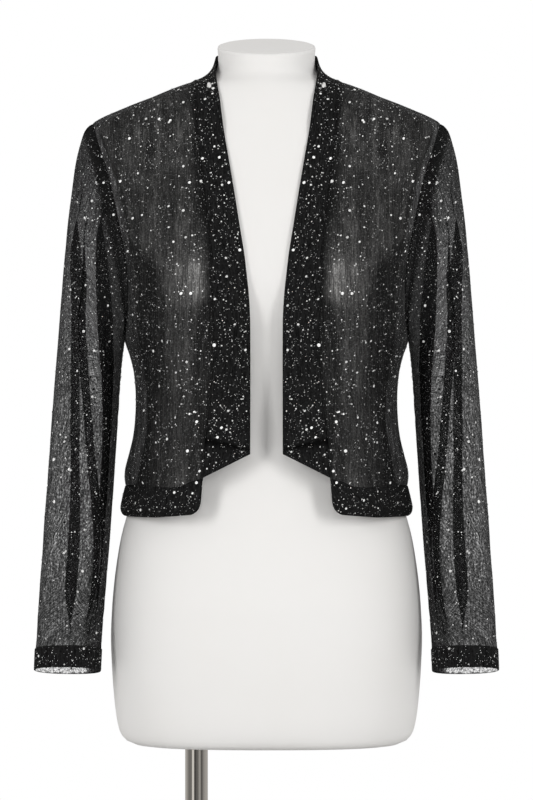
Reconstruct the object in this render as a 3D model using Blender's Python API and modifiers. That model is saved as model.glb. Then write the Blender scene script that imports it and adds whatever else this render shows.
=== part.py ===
# Cropped open-front jacket of sheer crinkle mesh on a limbless dress form with its stand.
# Metres, +Z up, the garment faces -Y, origin at the centre of the base plate's underside.
# Tables, grids and named sizes are in millimetres unless they say otherwise.

import math
import bpy
import bmesh
import numpy as np
from mathutils import Vector
from mathutils.bvhtree import BVHTree

NAME = "cropped_jacket_on_form"
MM = 0.001

# Cloth
SHEER = 1.0          # wall of the single mesh cloth
DOUBLED = 2.0        # wall of the bands, hems and cuffs
SEAM = 0.3           # gap between sewn pieces
CORNER_GAP = 0.4     # more room where pieces meet side by side or at a corner
HEM_GAP = 1.0        # from the hem's seam line down to the doubled hem
HOLE_GAP = 1.2       # from the armhole's edge out to the sleeve, whose wall lies across it
REST = 0.75          # clearance of the cloth's inner face over the form
SLACK = 0.35         # how much less of it the middle of a cell may have

# Stand
PLATE_R, PLATE = 170.0, 8.0
PLATE_TOP_EDGE, PLATE_LOW_EDGE = 2.0, 1.5
POLE_X, POLE_R, POLE_TOP = -77.0, 12.5, 221.8
LOOSE = 0.2          # clearance of the pole in its socket, and of both over the plate
# Profile of the socket: radius, height on the plate.
SOCKET = [(15.5, 27.0), (16.5, 26.0), (18.0, 9.0), (24.0, 5.0), (24.0, LOOSE)]
MERGE = 0.00005      # metres

for old in list(bpy.data.objects):
    bpy.data.objects.remove(old, do_unlink=True)
group = bpy.data.collections.new(NAME)
bpy.context.scene.collection.children.link(group)


# Share of the way from one value to another, held at its ends.
def blend(v, start, stop):
    return min(1.0, max(0.0, (v - start) / (stop - start)))


# Smooth curve through a table without overshoot: rows sorted by their first column.
class Table:
    def __init__(self, names, rows):
        self.names = names
        self.x = np.array([r[0] for r in rows], float)
        self.y = np.array([r[1:] for r in rows], float)
        h = np.diff(self.x)
        d = np.diff(self.y, axis=0) / h[:, None]
        m = np.zeros_like(self.y)
        m[0], m[-1] = d[0], d[-1]
        for i in range(1, len(self.x) - 1):
            same = d[i - 1] * d[i] > 0
            w1, w2 = 2 * h[i] + h[i - 1], h[i] + 2 * h[i - 1]
            safe = np.where(same, d[i - 1], 1.0), np.where(same, d[i], 1.0)
            m[i] = np.where(same, (w1 + w2) / (w1 / safe[0] + w2 / safe[1]), 0.0)
        self.m, self.h = m, h

    def at(self, v):
        v = min(max(v, self.x[0]), self.x[-1])
        i = int(min(max(np.searchsorted(self.x, v) - 1, 0), len(self.h) - 1))
        t, h = (v - self.x[i]) / self.h[i], self.h[i]
        a, b = self.y[i], self.y[i + 1]
        out = ((1 + 2 * t) * (1 - t) ** 2 * a + t * (1 - t) ** 2 * h * self.m[i]
               + t * t * (3 - 2 * t) * b + t * t * (t - 1) * h * self.m[i + 1])
        return dict(zip(self.names, out))


# Dress form, level sections: half width, depth to the front and to the back, squareness, and lift
# of the back over the front, in degrees, because the neck cap slants forward.
FORM = Table(("w", "f", "b", "p", "tilt"), [
    (222.0, 136, 94, 94, 2.5, 0), (223.0, 144, 99, 99, 2.5, 0), (227.0, 154, 103, 103, 2.4, 0),
    (236.0, 161, 107, 108, 2.3, 0), (252.0, 164.8, 110, 112, 2.3, 0), (274.4, 167.5, 112, 115, 2.3, 0),
    (304.0, 169.7, 114, 119, 2.3, 0), (340.0, 171, 115, 121, 2.3, 0), (371.0, 169.8, 115, 122, 2.3, 0),
    (397.6, 167.6, 113, 121, 2.3, 0), (431.7, 163.0, 110, 117, 2.3, 0), (453.7, 158.8, 107, 113, 2.3, 0),
    (471.3, 154.0, 104, 110, 2.3, 0), (500.0, 146.0, 100, 103, 2.3, 0), (530.0, 138.5, 94, 94, 2.2, 0),
    (560.0, 133.0, 89, 87, 2.2, 0), (585.0, 131.0, 87, 84, 2.2, 0), (610.0, 132.0, 88, 85, 2.2, 0),
    (640.0, 136.0, 91, 90, 2.3, 0), (665.0, 140.5, 94, 95, 2.4, 0), (700.0, 144.0, 98, 101, 2.5, 0),
    (740.0, 147.0, 100, 106, 2.7, 0), (780.0, 152.5, 98, 108, 2.8, 0), (811.0, 158.5, 94, 107, 2.8, 0),
    (839.0, 165.5, 88, 103, 2.8, 0), (866.0, 174.0, 81, 97, 2.7, 0), (885.0, 181.0, 76, 92, 2.6, 0),
    (897.0, 183.5, 73, 89, 2.4, 0), (905.0, 179.0, 71, 87, 2.3, 0), (910.0, 172.0, 70, 85, 2.2, 0),
    (917.0, 157.0, 68, 81, 2.2, 0), (924.5, 140.0, 66, 77, 2.2, 0), (931.0, 124.0, 64, 73, 2.2, 0),
    (937.0, 109.0, 62, 69, 2.2, 0), (942.0, 96.0, 60, 66, 2.15, 0), (946.5, 83.0, 58, 62.5, 2.1, 0),
    (950.0, 72.5, 56.5, 60, 2.05, 1), (953.5, 64.0, 55, 58, 2.0, 2), (958.0, 58.0, 53.5, 56, 2.0, 4),
    (964.0, 54.6, 52.5, 55, 2.0, 7.5), (972.0, 53.2, 52, 54, 2.0, 10.5), (981.0, 53.4, 52, 54, 2.0, 12.5),
    (986.5, 53.9, 52, 54, 2.0, 13.3), (988.6, 53.2, 51.4, 53.4, 2.0, 13.4),
    (989.2, 51.6, 50, 52, 2.0, 13.4)])
BUST = dict(x=90.0, z=722.0, side=48.0, over=44.0, under=36.0, high=37.0)
SIDE_FADE = 1.6      # how fast the bust comes in from the sides
FORM_ROWS = [222, 223, 227, 236, 252, 276, 310, 345, 380, 412, 445, 480, 512, 545, 580, 615, 642, 664, 682,
             698, 712, 726, 740, 757, 778, 803, 830, 855, 876, 890, 899, 905, 910, 917, 924.5, 931, 937, 942,
             946.5, 950, 953.5, 958, 965, 974, 985, 988.6, 989.2]
FORM_COLS = 36


def side_power(value, power):
    return math.copysign(abs(value) ** power, value)


def bust_rise(x, z):
    spread = BUST["over"] if z > BUST["z"] else BUST["under"]
    return BUST["high"] * (math.exp(-((abs(x) - BUST["x"]) / BUST["side"]) ** 2 / 2)
                           * math.exp(-((z - BUST["z"]) / spread) ** 2 / 2))


def form_point(z, a):
    s = FORM.at(z)
    x = s["w"] * side_power(math.sin(a), 2 / s["p"])
    c = side_power(math.cos(a), 2 / s["p"])
    y = -s["f"] * c if c > 0 else -s["b"] * c
    if c > 0:
        y -= bust_rise(x, z) * min(1.0, c * SIDE_FADE)
    return x, y, z + y * math.tan(math.radians(s["tilt"]))


# Jacket body, level sections. The front runs from its outer end (x, y) round to the centre
# front depth; outer end: side seam below the armpit, armhole between, shoulder seam above.
BODY_FRONT = Table(("x", "y", "f", "p", "rise"), [
    (473.6, 154.9, 0, 105, 2.4, 19), (475.8, 157.9, 0, 108, 2.4, 19), (481.0, 159.6, 0, 108.7, 2.4, 19),
    (494.0, 157.3, 0, 108, 2.4, 19.5),
    (506.0, 154.3, 0, 107.5, 2.4, 20), (513.0, 155.7, 0, 107, 2.4, 21), (524.0, 155.0, 0, 106.5, 2.4, 22),
    (540.0, 150.8, 0, 106, 2.4, 23.5), (558.0, 146.4, 0, 105.5, 2.4, 25), (579.0, 143.9, 0, 102, 2.4, 27),
    (600.0, 143.2, 0, 98.5, 2.4, 29), (620.0, 144.6, 0, 97, 2.4, 31), (639.0, 147.3, 0, 97, 2.4, 33),
    (655.0, 152.0, 0, 98, 2.4, 35), (667.0, 155.6, 0, 99.5, 2.4, 36), (676.0, 154.0, -18, 101, 2.3, 37),
    (695.0, 151.0, -40, 103.5, 2.1, 38), (720.0, 149.5, -56, 102.5, 2.0, 39),
    (745.0, 151.5, -62, 101.5, 1.9, 34), (770.0, 156.0, -62, 100.5, 1.85, 23),
    (795.0, 161.0, -58, 98.0, 1.8, 13), (820.0, 166.0, -53, 94, 1.8, 6),
    (843.0, 171.5, -46, 89.5, 1.8, 3), (863.0, 178.0, -38, 84.5, 1.8, 1), (882.0, 184.0, -26, 79.5, 1.9, 0),
    (893.0, 187.5, -15, 76.5, 2.0, 0), (903.5, 190.5, 0, 73.8, 2.1, 0), (906.6, 186.0, 0, 73.0, 2.1, 0),
    (909.8, 180.0, 0, 72, 2.15, 0), (918.0, 161.0, 0, 70, 2.2, 0), (925.5, 143.0, 0, 68, 2.2, 0),
    (932.0, 126.0, 0, 66, 2.2, 0), (938.0, 112.0, 0, 64, 2.2, 0), (943.5, 98.0, 0, 62, 2.2, 0),
    (948.0, 85.0, 0, 60, 2.15, 0), (950.0, 79.5, 0, 59, 2.1, 0)])
BODY_BACK = Table(("x", "y", "b", "p"), [
    (473.6, 154.9, 0, 114, 2.3), (475.8, 157.9, 0, 117, 2.3), (481.0, 159.6, 0, 117.4, 2.3),
    (494.0, 157.3, 0, 115.5, 2.3),
    (506.0, 154.3, 0, 114, 2.3), (513.0, 155.7, 0, 113.5, 2.3), (524.0, 155.0, 0, 112.5, 2.3),
    (540.0, 150.8, 0, 111, 2.3), (558.0, 146.4, 0, 109, 2.3), (579.0, 143.9, 0, 107, 2.3),
    (600.0, 143.2, 0, 106, 2.3), (620.0, 144.6, 0, 106, 2.3), (639.0, 147.3, 0, 106.5, 2.3),
    (655.0, 152.0, 0, 107, 2.3), (667.0, 155.6, 0, 107.5, 2.3), (676.0, 155.0, 18, 108, 2.25),
    (695.0, 155.5, 38, 109, 2.15), (720.0, 158.0, 54, 110, 2.1), (745.0, 161.5, 62, 110.5, 2.0),
    (770.0, 165.5, 65, 111, 1.95), (795.0, 169.5, 64, 110.5, 1.9), (820.0, 173.5, 59, 109, 1.9),
    (843.0, 177.5, 51, 105.5, 1.9), (863.0, 181.5, 42, 100.5, 1.95), (882.0, 185.5, 29, 95.5, 2.0),
    (893.0, 188.0, 17, 92.5, 2.1), (903.5, 190.5, 0, 89.6, 2.15), (906.6, 186.0, 0, 88.5, 2.15),
    (909.8, 180.0, 0, 87.5, 2.2), (918.0, 161.0, 0, 83.5, 2.2), (925.5, 143.0, 0, 79.5, 2.2),
    (932.0, 126.0, 0, 75.5, 2.2), (938.0, 112.0, 0, 72, 2.2), (943.5, 98.0, 0, 68.5, 2.2),
    (948.0, 85.0, 0, 65, 2.15), (950.0, 79.5, 0, 63, 2.1)])
ARMPIT, SHOULDER, NECKLINE, HEM_SEAM, HEM = 667.0, 903.5, 950.0, 506.0, 473.6

# Seam between front panel and band, and the band's open edge: height, distance from the middle.
BAND_SEAM = Table(("x",), [
    (472.0, 74.0), (490.0, 71.0), (516.3, 68.5), (538.0, 67.2), (561.4, 65.5), (588.2, 61.9), (611.0, 59.2),
    (634.3, 57.4), (662.0, 56.4), (689.0, 56.6), (724.4, 59.1), (748.0, 59.4), (772.0, 60.4), (811.3, 65.0),
    (852.0, 69.5), (886.0, 73.5), (906.0, 75.2), (924.5, 76.2), (938.0, 77.4), (948.0, 78.4), (950.0, 78.8)])
BAND_EDGE = Table(("x",), [
    (541.8, 17.5), (560.0, 17.4), (638.6, 17.3), (680.0, 17.4), (707.0, 18.5), (739.5, 21.7), (761.0, 24.4),
    (776.0, 26.9), (802.5, 31.1), (828.5, 35.3), (871.7, 42.6), (892.5, 46.2), (912.0, 48.7), (930.0, 51.0),
    (942.0, 53.3), (950.0, 54.8), (957.0, 55.7), (966.0, 56.2), (978.0, 54.9)])
# Where the open edge leaves the body for the neck: height, depth.
NECK_DEPTH = Table(("y",), [
    (880.0, -80.5), (892.5, -77.5), (912.0, -71.0), (930.0, -63.5), (942.0, -54.0), (950.0, -45.0),
    (957.0, -34.0), (966.0, -18.0), (978.0, 4.0)])
# Rows of the band: height at its seam, height at its open edge, push forward in mm (turned-up end).
BAND_ROWS = [(516.3, 541.8, 0.0), (526.0, 542.9, -1.2), (538.0, 544.1, -3.0), (548.0, 545.2, -4.6),
             (555.5, 546.2, -5.2), (559.2, 547.6, -1.0), (561.5, 549.4, 2.6), (565.5, 553.0, 3.0),
             (574.0, 562.0, 2.4), (589.0, 580.0, 1.6), (611.0, 605.0, 1.2), (636.0, 632.0, 1.0),
             (662.0, 659.0, 0.8), (689.0, 687.0, 0.6), (712.0, 711.0, 0.4), (736.0, 736.0, 0.3),
             (760.0, 761.0, 0.2), (785.0, 786.0, 0.1), (811.0, 813.0, 0.0), (836.0, 840.0, 0.0),
             (858.0, 864.0, 0.0), (878.0, 886.0, 0.0), (896.0, 904.0, 0.0), (912.0, 920.0, 0.0),
             (925.0, 932.5, 0.0), (936.0, 943.0, 0.0), (943.5, 951.0, 0.0), (948.5, 960.0, 0.0)]
# Back half of the band: angle from the side round to centre back, then the height of its free edge.
NECK_BACK = [(2, 978.0), (20, 980.5), (38, 983.0), (54, 985.0), (70, 986.5), (89.75, 987.5)]
NECK_R, NECK_Y = 54.9, 4.0       # circle of the free edge behind the neck, and its centre's depth
BAND_COLS = 5
BAND_LEAVES = (885.0, 925.0)     # seam heights between which the band leaves the body's curve
EDGE_LEAVES = (872.0, 892.0)     # the same for its open edge
BAND_SAGS = (915.0, 940.0)       # seam heights between which it starts to sag inwards
SAG, BACK_SAG = (4.6, 0.0, 3.4), (5.0, 3.0, 3.6)   # how far its middle sags, in front and behind
LEAST_SAG = 0.35                        # share of it that is left at the middle of the back
PUSH_START, PUSH_RISE = 0.18, 0.9       # shape of a row's forward push across the band


def section(t, front, a):
    x = t["x"] * side_power(math.sin(a), 2 / t["p"])
    c = side_power(math.cos(a), 2 / t["p"])
    if front:
        rise = t["rise"] * math.exp(-((abs(x) - BUST["x"]) / BUST["side"]) ** 2 / 2)
        return x, t["y"] - (t["f"] + t["y"]) * c - rise * min(1.0, c * SIDE_FADE)
    return x, t["y"] + (t["b"] - t["y"]) * c


# Angle round a level section at which it is x from the middle.
def angle_at(t, x):
    return math.asin(min(1.0, (abs(x) / t["x"]) ** (t["p"] / 2)))


def body_depth(z, x):
    t = BODY_FRONT.at(z)
    return section(t, True, angle_at(t, x))[1]


# How far a point stands outside the form, and the way out.
def outside(p):
    here = Vector(p * MM)
    spot, normal, _, far = form_tree.find_nearest(here)
    return (far if (here - spot).dot(normal) > 0 else -far) / MM, np.array(spot) / MM, np.array(normal)


# Points too near the form move out; so do the corners of any cell whose middle would cut into it.
def off_form(P, need):
    n, m = P.shape[:2]
    for i in range(n):
        for j in range(m):
            far, spot, normal = outside(P[i, j])
            if far < need:
                P[i, j] = spot + normal * need
    for _ in range(3):
        push = np.zeros_like(P)
        for i in range(n):
            for j in range(m):
                for di, dj in ((1, 0), (0, 1), (1, 1)):
                    if i + di < n and j + dj < m:
                        ends = [(i, j), (i + di, j + dj)]
                        far, _, normal = outside((P[ends[0]] + P[ends[1]]) / 2)
                        step = normal * max(0.0, need - SLACK - far)
                        for e in ends:
                            if np.linalg.norm(step) > np.linalg.norm(push[e]):
                                push[e] = step
        P += push
    return P


# Quads over a grid of points, closed round each row where around is set.
def grid_mesh(name, P, around):
    n, m = len(P), len(P[0])
    verts = [tuple(c * MM for c in p) for row in P for p in row]
    faces = []
    for i in range(n - 1):
        for j in range(m if around else m - 1):
            k = (j + 1) % m
            faces.append((i * m + j, i * m + k, (i + 1) * m + k, (i + 1) * m + j))
    mesh = bpy.data.meshes.new(name)
    mesh.from_pydata(verts, [], faces)
    mesh.shade_smooth()
    return mesh


def place(name, mesh, material):
    mesh.materials.append(material)
    ob = bpy.data.objects.new(name, mesh)
    group.objects.link(ob)
    return ob


def cloth(name, P, wall, material, around=False, rest=True):
    P = np.array(P, float)
    if rest:
        P = off_form(P, wall / 2 + REST)
    ob = place(name, grid_mesh(name, P, around), material)
    shell = ob.modifiers.new("Wall", "SOLIDIFY")
    shell.thickness = wall * MM
    shell.offset = 0.0
    return ob


# Loft through closed rows of points, with a flat cap at each end.
def capped_loft(name, P, material):
    mesh = grid_mesh(name, P, True)
    bm = bmesh.new()
    bm.from_mesh(mesh)
    bmesh.ops.holes_fill(bm, edges=bm.edges[:], sides=len(P[0]))
    bmesh.ops.recalc_face_normals(bm, faces=bm.faces[:])
    bm.to_mesh(mesh)
    bm.free()
    return place(name, mesh, material)


# Turned shape: a profile of radius and height that runs down its outer side, top to bottom.
def turned(name, profile, x, steps, material, bored=False):
    links = [(i, i + 1) for i in range(len(profile) - 1)]
    if bored:
        links.append((len(profile) - 1, 0))
    mesh = bpy.data.meshes.new(name)
    mesh.from_pydata([(r * MM, 0.0, z * MM) for r, z in profile], links, [])
    ob = place(name, mesh, material)
    ob.location.x = x * MM
    lathe = ob.modifiers.new("Turn", "SCREW")
    lathe.steps = steps
    lathe.render_steps = steps
    lathe.use_merge_vertices = True
    lathe.merge_threshold = MERGE
    return ob


def surface(name, colour, metal, rough):
    m = bpy.data.materials.new(name)
    m.use_nodes = True
    s = m.node_tree.nodes["Principled BSDF"]
    s.inputs["Base Color"].default_value = (*colour, 1)
    s.inputs["Metallic"].default_value = metal
    s.inputs["Roughness"].default_value = rough
    m.diffuse_color = (*colour, 1)
    return m


MESH_CLOTH = surface("sheer mesh", (0.016, 0.016, 0.017), 0.0, 0.7)
BAND_CLOTH = surface("doubled mesh", (0.010, 0.010, 0.011), 0.0, 0.7)
FORM_SKIN = surface("matte form", (0.80, 0.79, 0.76), 0.0, 0.55)
STEEL = surface("brushed steel", (0.46, 0.45, 0.43), 1.0, 0.34)

# Dress form
form_rows = [[form_point(z, 2 * math.pi * k / FORM_COLS) for k in range(FORM_COLS)] for z in FORM_ROWS]
form = capped_loft("dress_form", form_rows, FORM_SKIN)
form_tree = BVHTree.FromPolygons([v.co.copy() for v in form.data.vertices],
                                 [tuple(p.vertices) for p in form.data.polygons])

# Stand
turned("base_plate", [(0.0, PLATE), (PLATE_R - PLATE_TOP_EDGE, PLATE), (PLATE_R, PLATE - PLATE_TOP_EDGE),
                      (PLATE_R, PLATE_LOW_EDGE), (PLATE_R - PLATE_LOW_EDGE, 0.0), (0.0, 0.0)], 0.0, 64, STEEL)
turned("pole", [(0.0, POLE_TOP), (POLE_R, POLE_TOP), (POLE_R, PLATE + LOOSE), (0.0, PLATE + LOOSE)],
       POLE_X, 32, STEEL)
bore = POLE_R + LOOSE
socket = [(bore, SOCKET[0][1])] + SOCKET + [(bore, SOCKET[-1][1])]
turned("pole_socket", [(r, z + PLATE) for r, z in socket], POLE_X, 32, STEEL, bored=True)

# Body panels
FRONT_LEVELS = [506, 513, 524, 540, 560, 585, 610, 634, 652, 663, 667, 672, 682, 696, 714, 734, 756, 780,
                806, 832, 856, 876, 889, 897, 903.5, 906.6, 910.5, 918, 925.5, 932, 938, 943, 946.5, 949]
BACK_LEVELS = [506, 524, 548, 580, 612, 642, 660, 667, 673, 684, 700, 722, 748, 778, 808, 836, 860, 879, 890,
               897, 903.5, 906.6, 910.5, 918, 925.5, 932, 938, 943, 947, 950]
FRONT_COLS, BACK_COLS = 9, 9
LIFT = dict(high=9.7, outer=100.0, inner=69.0, top=540.0)   # the hem's seam rises towards the opening


def hem_lift(x):
    t = blend(abs(x), LIFT["outer"], LIFT["inner"])
    return LIFT["high"] * t * t * (3 - 2 * t)


def front_grid(sign):
    P = []
    for z in FRONT_LEVELS:
        t = BODY_FRONT.at(z)
        inner = angle_at(t, min(BAND_SEAM.at(z)["x"] + CORNER_GAP, t["x"] - 2 * SEAM))
        row = []
        for j in range(FRONT_COLS + 1):
            a = math.pi / 2 + (inner - math.pi / 2) * j / FRONT_COLS
            x, y = section(t, True, a)
            gap = SEAM / 2 + (CORNER_GAP if j == 0 else 0.0)
            row.append((sign * x, y - gap, z + hem_lift(x) * blend(z, LIFT["top"], HEM_SEAM)))
        P.append(row)
    return P


def back_grid():
    P = []
    for z in BACK_LEVELS:
        t = BODY_BACK.at(z)
        row = []
        for j in range(-BACK_COLS, BACK_COLS + 1):
            x, y = section(t, False, math.pi / 2 * abs(j) / BACK_COLS)
            gap = SEAM / 2 + (CORNER_GAP if abs(j) == BACK_COLS else 0.0)
            row.append((math.copysign(x, -j) if j else 0.0, y + gap, z))
        P.append(row)
    return P


for side, sign in (("right", -1), ("left", 1)):
    cloth("front_panel_" + side, front_grid(sign), SHEER, MESH_CLOTH)
cloth("back_panel", back_grid(), SHEER, MESH_CLOTH)

# Hem band, one strip from front end to front end
HEM_LEVELS = [HEM, 475.8, 481.0, 493.0, HEM_SEAM - HEM_GAP]
HEM_COLS = 13
HEM_EDGE = dict(high=3.6, outer=120.0, inner=80.0)    # the free edge rises less than the seam
HEM_ROUND, HEM_ROUND_HIGH = 9.0, 11.0                 # rounded front corner
HEM_END = 0.2


def hem_end(z):
    curve = 1 - math.sqrt(1 - (1 - blend(z, HEM, HEM + HEM_ROUND_HIGH)) ** 2)
    return BAND_SEAM.at(min(z + LIFT["high"], BAND_ROWS[0][0]))["x"] + HEM_ROUND * curve + HEM_END


def hem_front(z, sign):
    t = BODY_FRONT.at(z)
    share = blend(z, HEM, HEM_SEAM - HEM_GAP)
    first = angle_at(t, hem_end(z))
    row = []
    for j in range(HEM_COLS):
        x, y = section(t, True, first + (math.pi / 2 - first) * j / HEM_COLS)
        edge = HEM_EDGE["high"] * blend(x, HEM_EDGE["outer"], HEM_EDGE["inner"])
        row.append((sign * x, y - CORNER_GAP, z + hem_lift(x) * share + edge * (1 - share)))
    return row


def hem_back(z):
    t = BODY_BACK.at(z)
    row = []
    for j in range(-HEM_COLS, HEM_COLS + 1):
        x, y = section(t, False, math.pi / 2 * abs(j) / HEM_COLS)
        row.append((math.copysign(x, j) if j else 0.0, y + (CORNER_GAP if abs(j) < HEM_COLS else 0.0), z))
    return row


hem_rows = [hem_front(z, -1) + hem_back(z) + hem_front(z, 1)[::-1] for z in HEM_LEVELS]
cloth("hem_band", hem_rows, DOUBLED, BAND_CLOTH)


# Front bands, on round the back of the neck
def band_row(zo, zi, push):
    xo = BAND_SEAM.at(zo)["x"] - CORNER_GAP
    outer = np.array((xo, body_depth(zo, xo), zo))
    xi, off = BAND_EDGE.at(zi)["x"], blend(zi, *EDGE_LEAVES)
    inner = np.array((xi, body_depth(zi, xi) * (1 - off) + NECK_DEPTH.at(zi)["y"] * off, zi))
    held = 1 - blend(zo, *BAND_LEAVES)
    row = []
    for j in range(BAND_COLS + 1):
        u = j / BAND_COLS
        p = outer * (1 - u) + inner * u
        y = body_depth(p[2], p[0])
        p[1] = p[1] * (1 - held) + (y if off < 1 else min(y, p[1])) * held
        p -= np.array(SAG) * math.sin(math.pi * u) * blend(zo, *BAND_SAGS)
        p[1] -= (DOUBLED - SHEER) / 2 + push * math.sin(math.pi * min(1.0, PUSH_START + PUSH_RISE * (1 - u)))
        row.append(p)
    return row


def neck_row(deg, top):
    t, a = BODY_BACK.at(NECKLINE), math.radians(deg)
    outer = np.array((t["x"] * math.cos(a), t["b"] * math.sin(a), NECKLINE + HOLE_GAP))
    inner = np.array((NECK_R * math.cos(a) + CORNER_GAP, NECK_Y + NECK_R * math.sin(a), top))
    sag = np.array(BACK_SAG) * (math.cos(a), math.sin(a), 1.0) * max(LEAST_SAG, math.cos(a))
    return [outer * (1 - u) + inner * u - sag * math.sin(math.pi * u)
            for u in (j / BAND_COLS for j in range(BAND_COLS + 1))]


for side, sign in (("right", -1), ("left", 1)):
    rows = [band_row(*r) for r in BAND_ROWS] + [neck_row(*r) for r in NECK_BACK]
    cloth("front_band_" + side, np.array(rows) * (sign, 1, 1), DOUBLED, BAND_CLOTH)

# Sleeves: each ring runs from its outer point to its inner point; columns are the outer point
# (x, z), the inner point (x, z), centre depth, half depth front and back, forward pitch in degrees,
# and how far the ring keeps the armhole's curve.
SLEEVE = Table(("xo", "zo", "xi", "zi", "yc", "df", "db", "pitch", "hole"), [
    (0.0, 191.9, 903.6, 157.2, 667.0, 1, 61, 64, 0, 1.0),
    (1.0, 199.0, 899.6, 157.3, 664.5, 1, 63, 66, 0, 0.92),
    (2.0, 205.4, 884.0, 157.6, 661.0, 1, 64, 67, 0, 0.75),
    (3.0, 210.8, 861.0, 158.0, 656.0, 1, 64.5, 67.5, 0, 0.55),
    (4.0, 216.0, 820.0, 158.6, 648.0, 1, 64, 67, 0, 0.35),
    (5.0, 221.8, 768.0, 159.4, 636.0, 1, 63, 65, 0, 0.18),
    (6.0, 226.4, 706.0, 160.6, 618.0, 1, 61, 62.5, 1, 0.06),
    (7.0, 231.0, 648.0, 162.2, 594.0, 0, 58.5, 60, 2, 0),
    (8.0, 235.4, 592.0, 164.0, 562.0, -2, 55, 57, 4, 0),
    (9.0, 239.4, 535.0, 166.6, 520.0, -6, 51, 53, 6, 0),
    (10.0, 242.9, 482.0, 169.3, 476.0, -12, 47, 49, 8, 0),
    (11.0, 246.3, 430.0, 172.6, 429.0, -20, 43.5, 45, 10, 0),
    (12.0, 249.3, 382.0, 176.4, 382.0, -28, 40, 41.5, 10, 0),
    (13.0, 251.1, 349.0, 178.8, 349.0, -34, 38, 39.5, 10, 0),
    (14.0, 252.1, 328.6, 180.3, 328.6, -38, 37, 38, 9.6, 0),
    (15.0, 252.8, 305.2, 181.4, 304.4, -42, 36.5, 37, 9.2, 0)])
SLEEVE_ROWS = [0, 0.6, 1.4, 2.2, 3, 3.9, 4.8, 5.7, 6.6, 7.6, 8.7, 9.8, 10.9, 12, 13, 13.985]
CUFF_ROWS = [14.015, 14.5, 15.0]
SLEEVE_ROUND = 2.3                     # squareness of a ring
ARMHOLE_X = (157.2, 191.9)             # the armhole's foot and head

# Three knife pleats down the front of the sleeve, a on the outer side: height, then each pleat's
# outer and inner fold line, and how far the pleats are pressed in.
PLEATS = Table(("a_out", "a_in", "b_out", "b_in", "c_out", "c_in", "pressed"), [
    (345.0, 218.6, 206.0, 191.0, 185.0, 184.5, 178.0, 0),
    (403.0, 218.6, 206.0, 191.0, 185.0, 184.5, 178.0, 1),
    (425.0, 216.3, 202.8, 187.5, 182.0, 181.5, 176.5, 1),
    (465.0, 214.2, 202.8, 187.6, 181.0, 180.5, 174.5, 1),
    (506.0, 212.8, 202.8, 192.3, 182.0, 181.5, 172.5, 1),
    (558.0, 212.8, 202.8, 196.9, 188.2, 178.2, 169.5, 1),
    (611.0, 212.8, 203.2, 200.8, 191.8, 179.2, 168.0, 1),
    (654.0, 212.3, 204.0, 203.5, 194.8, 182.5, 166.0, 1),
    (709.0, 211.9, 204.5, 204.0, 197.4, 184.5, 167.0, 1),
    (747.0, 212.0, 200.0, 199.5, 196.0, 183.0, 168.0, 1),
    (790.0, 212.0, 206.0, 200.0, 197.0, 186.0, 176.0, 0.15),
    (800.0, 212.0, 206.0, 200.0, 197.0, 186.0, 176.0, 0)])
PLEAT_STEP = 2.2                       # from one layer of a pleat back to the next
PLAIN_LINES = (5.0, 3.0, 1.0, -1.0, -3.0, -5.0)    # a pleat's six lines while it isn't pressed in
PLAIN_LEAST = dict(a=0.42, b=0.265, c=0.115)       # and the lowest share of a ring for its middle
PLEAT_ROOM, PLEAT_WIDE = 6.0, 2.0      # least distance from the sleeve's inner edge, least width
PLEAT_REACH, PLEAT_APART = 0.88, 0.12  # highest share of a ring for a pleat, and least between two
OUTER_RUN = (0.1, 0.35, 0.68)          # points on the way to the first pleat
INNER_RUN = ((0.45, 1.0), (0.85, 0.75))            # and past the last one, with their step
BACK_WALL = [0.0, 0.03, 0.10, 0.22, 0.38, 0.54, 0.70, 0.83, 0.92, 0.975]


# Point of a ring at a share of its width from the inner edge, stepped back from the front wall.
def sleeve_point(t, share, step, front):
    bulge = max(0.0, 1 - abs(2 * share - 1) ** SLEEVE_ROUND) ** (1 / SLEEVE_ROUND)
    x = t["xi"] * (1 - share) + t["xo"] * share
    z = t["zi"] * (1 - share) + t["zo"] * share
    y = t["yc"] + (step - t["df"] * bulge if front else t["db"] * bulge)
    if t["hole"] > 0:
        h = (BODY_FRONT if front else BODY_BACK).at(ARMPIT + share * (SHOULDER - ARMPIT))
        line = ARMHOLE_X[0] * (1 - share) + ARMHOLE_X[1] * share
        x += (h["x"] + HOLE_GAP - line) * t["hole"]
        y = y * (1 - t["hole"]) + h["y"] * t["hole"]
    return x, y, z - (y - t["yc"]) * math.tan(math.radians(t["pitch"]))


# Share of the ring at which a pleat's middle line crosses it, and the pleats' table there.
def pleat_share(t, pleat, most):
    low, high = 0.0, most
    for _ in range(24):
        share = (low + high) / 2
        x, _, z = sleeve_point(t, share, 0.0, True)
        e = PLEATS.at(z)
        if x < (e[pleat + "_out"] + e[pleat + "_in"]) / 2:
            low = share
        else:
            high = share
    return share, e


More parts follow.
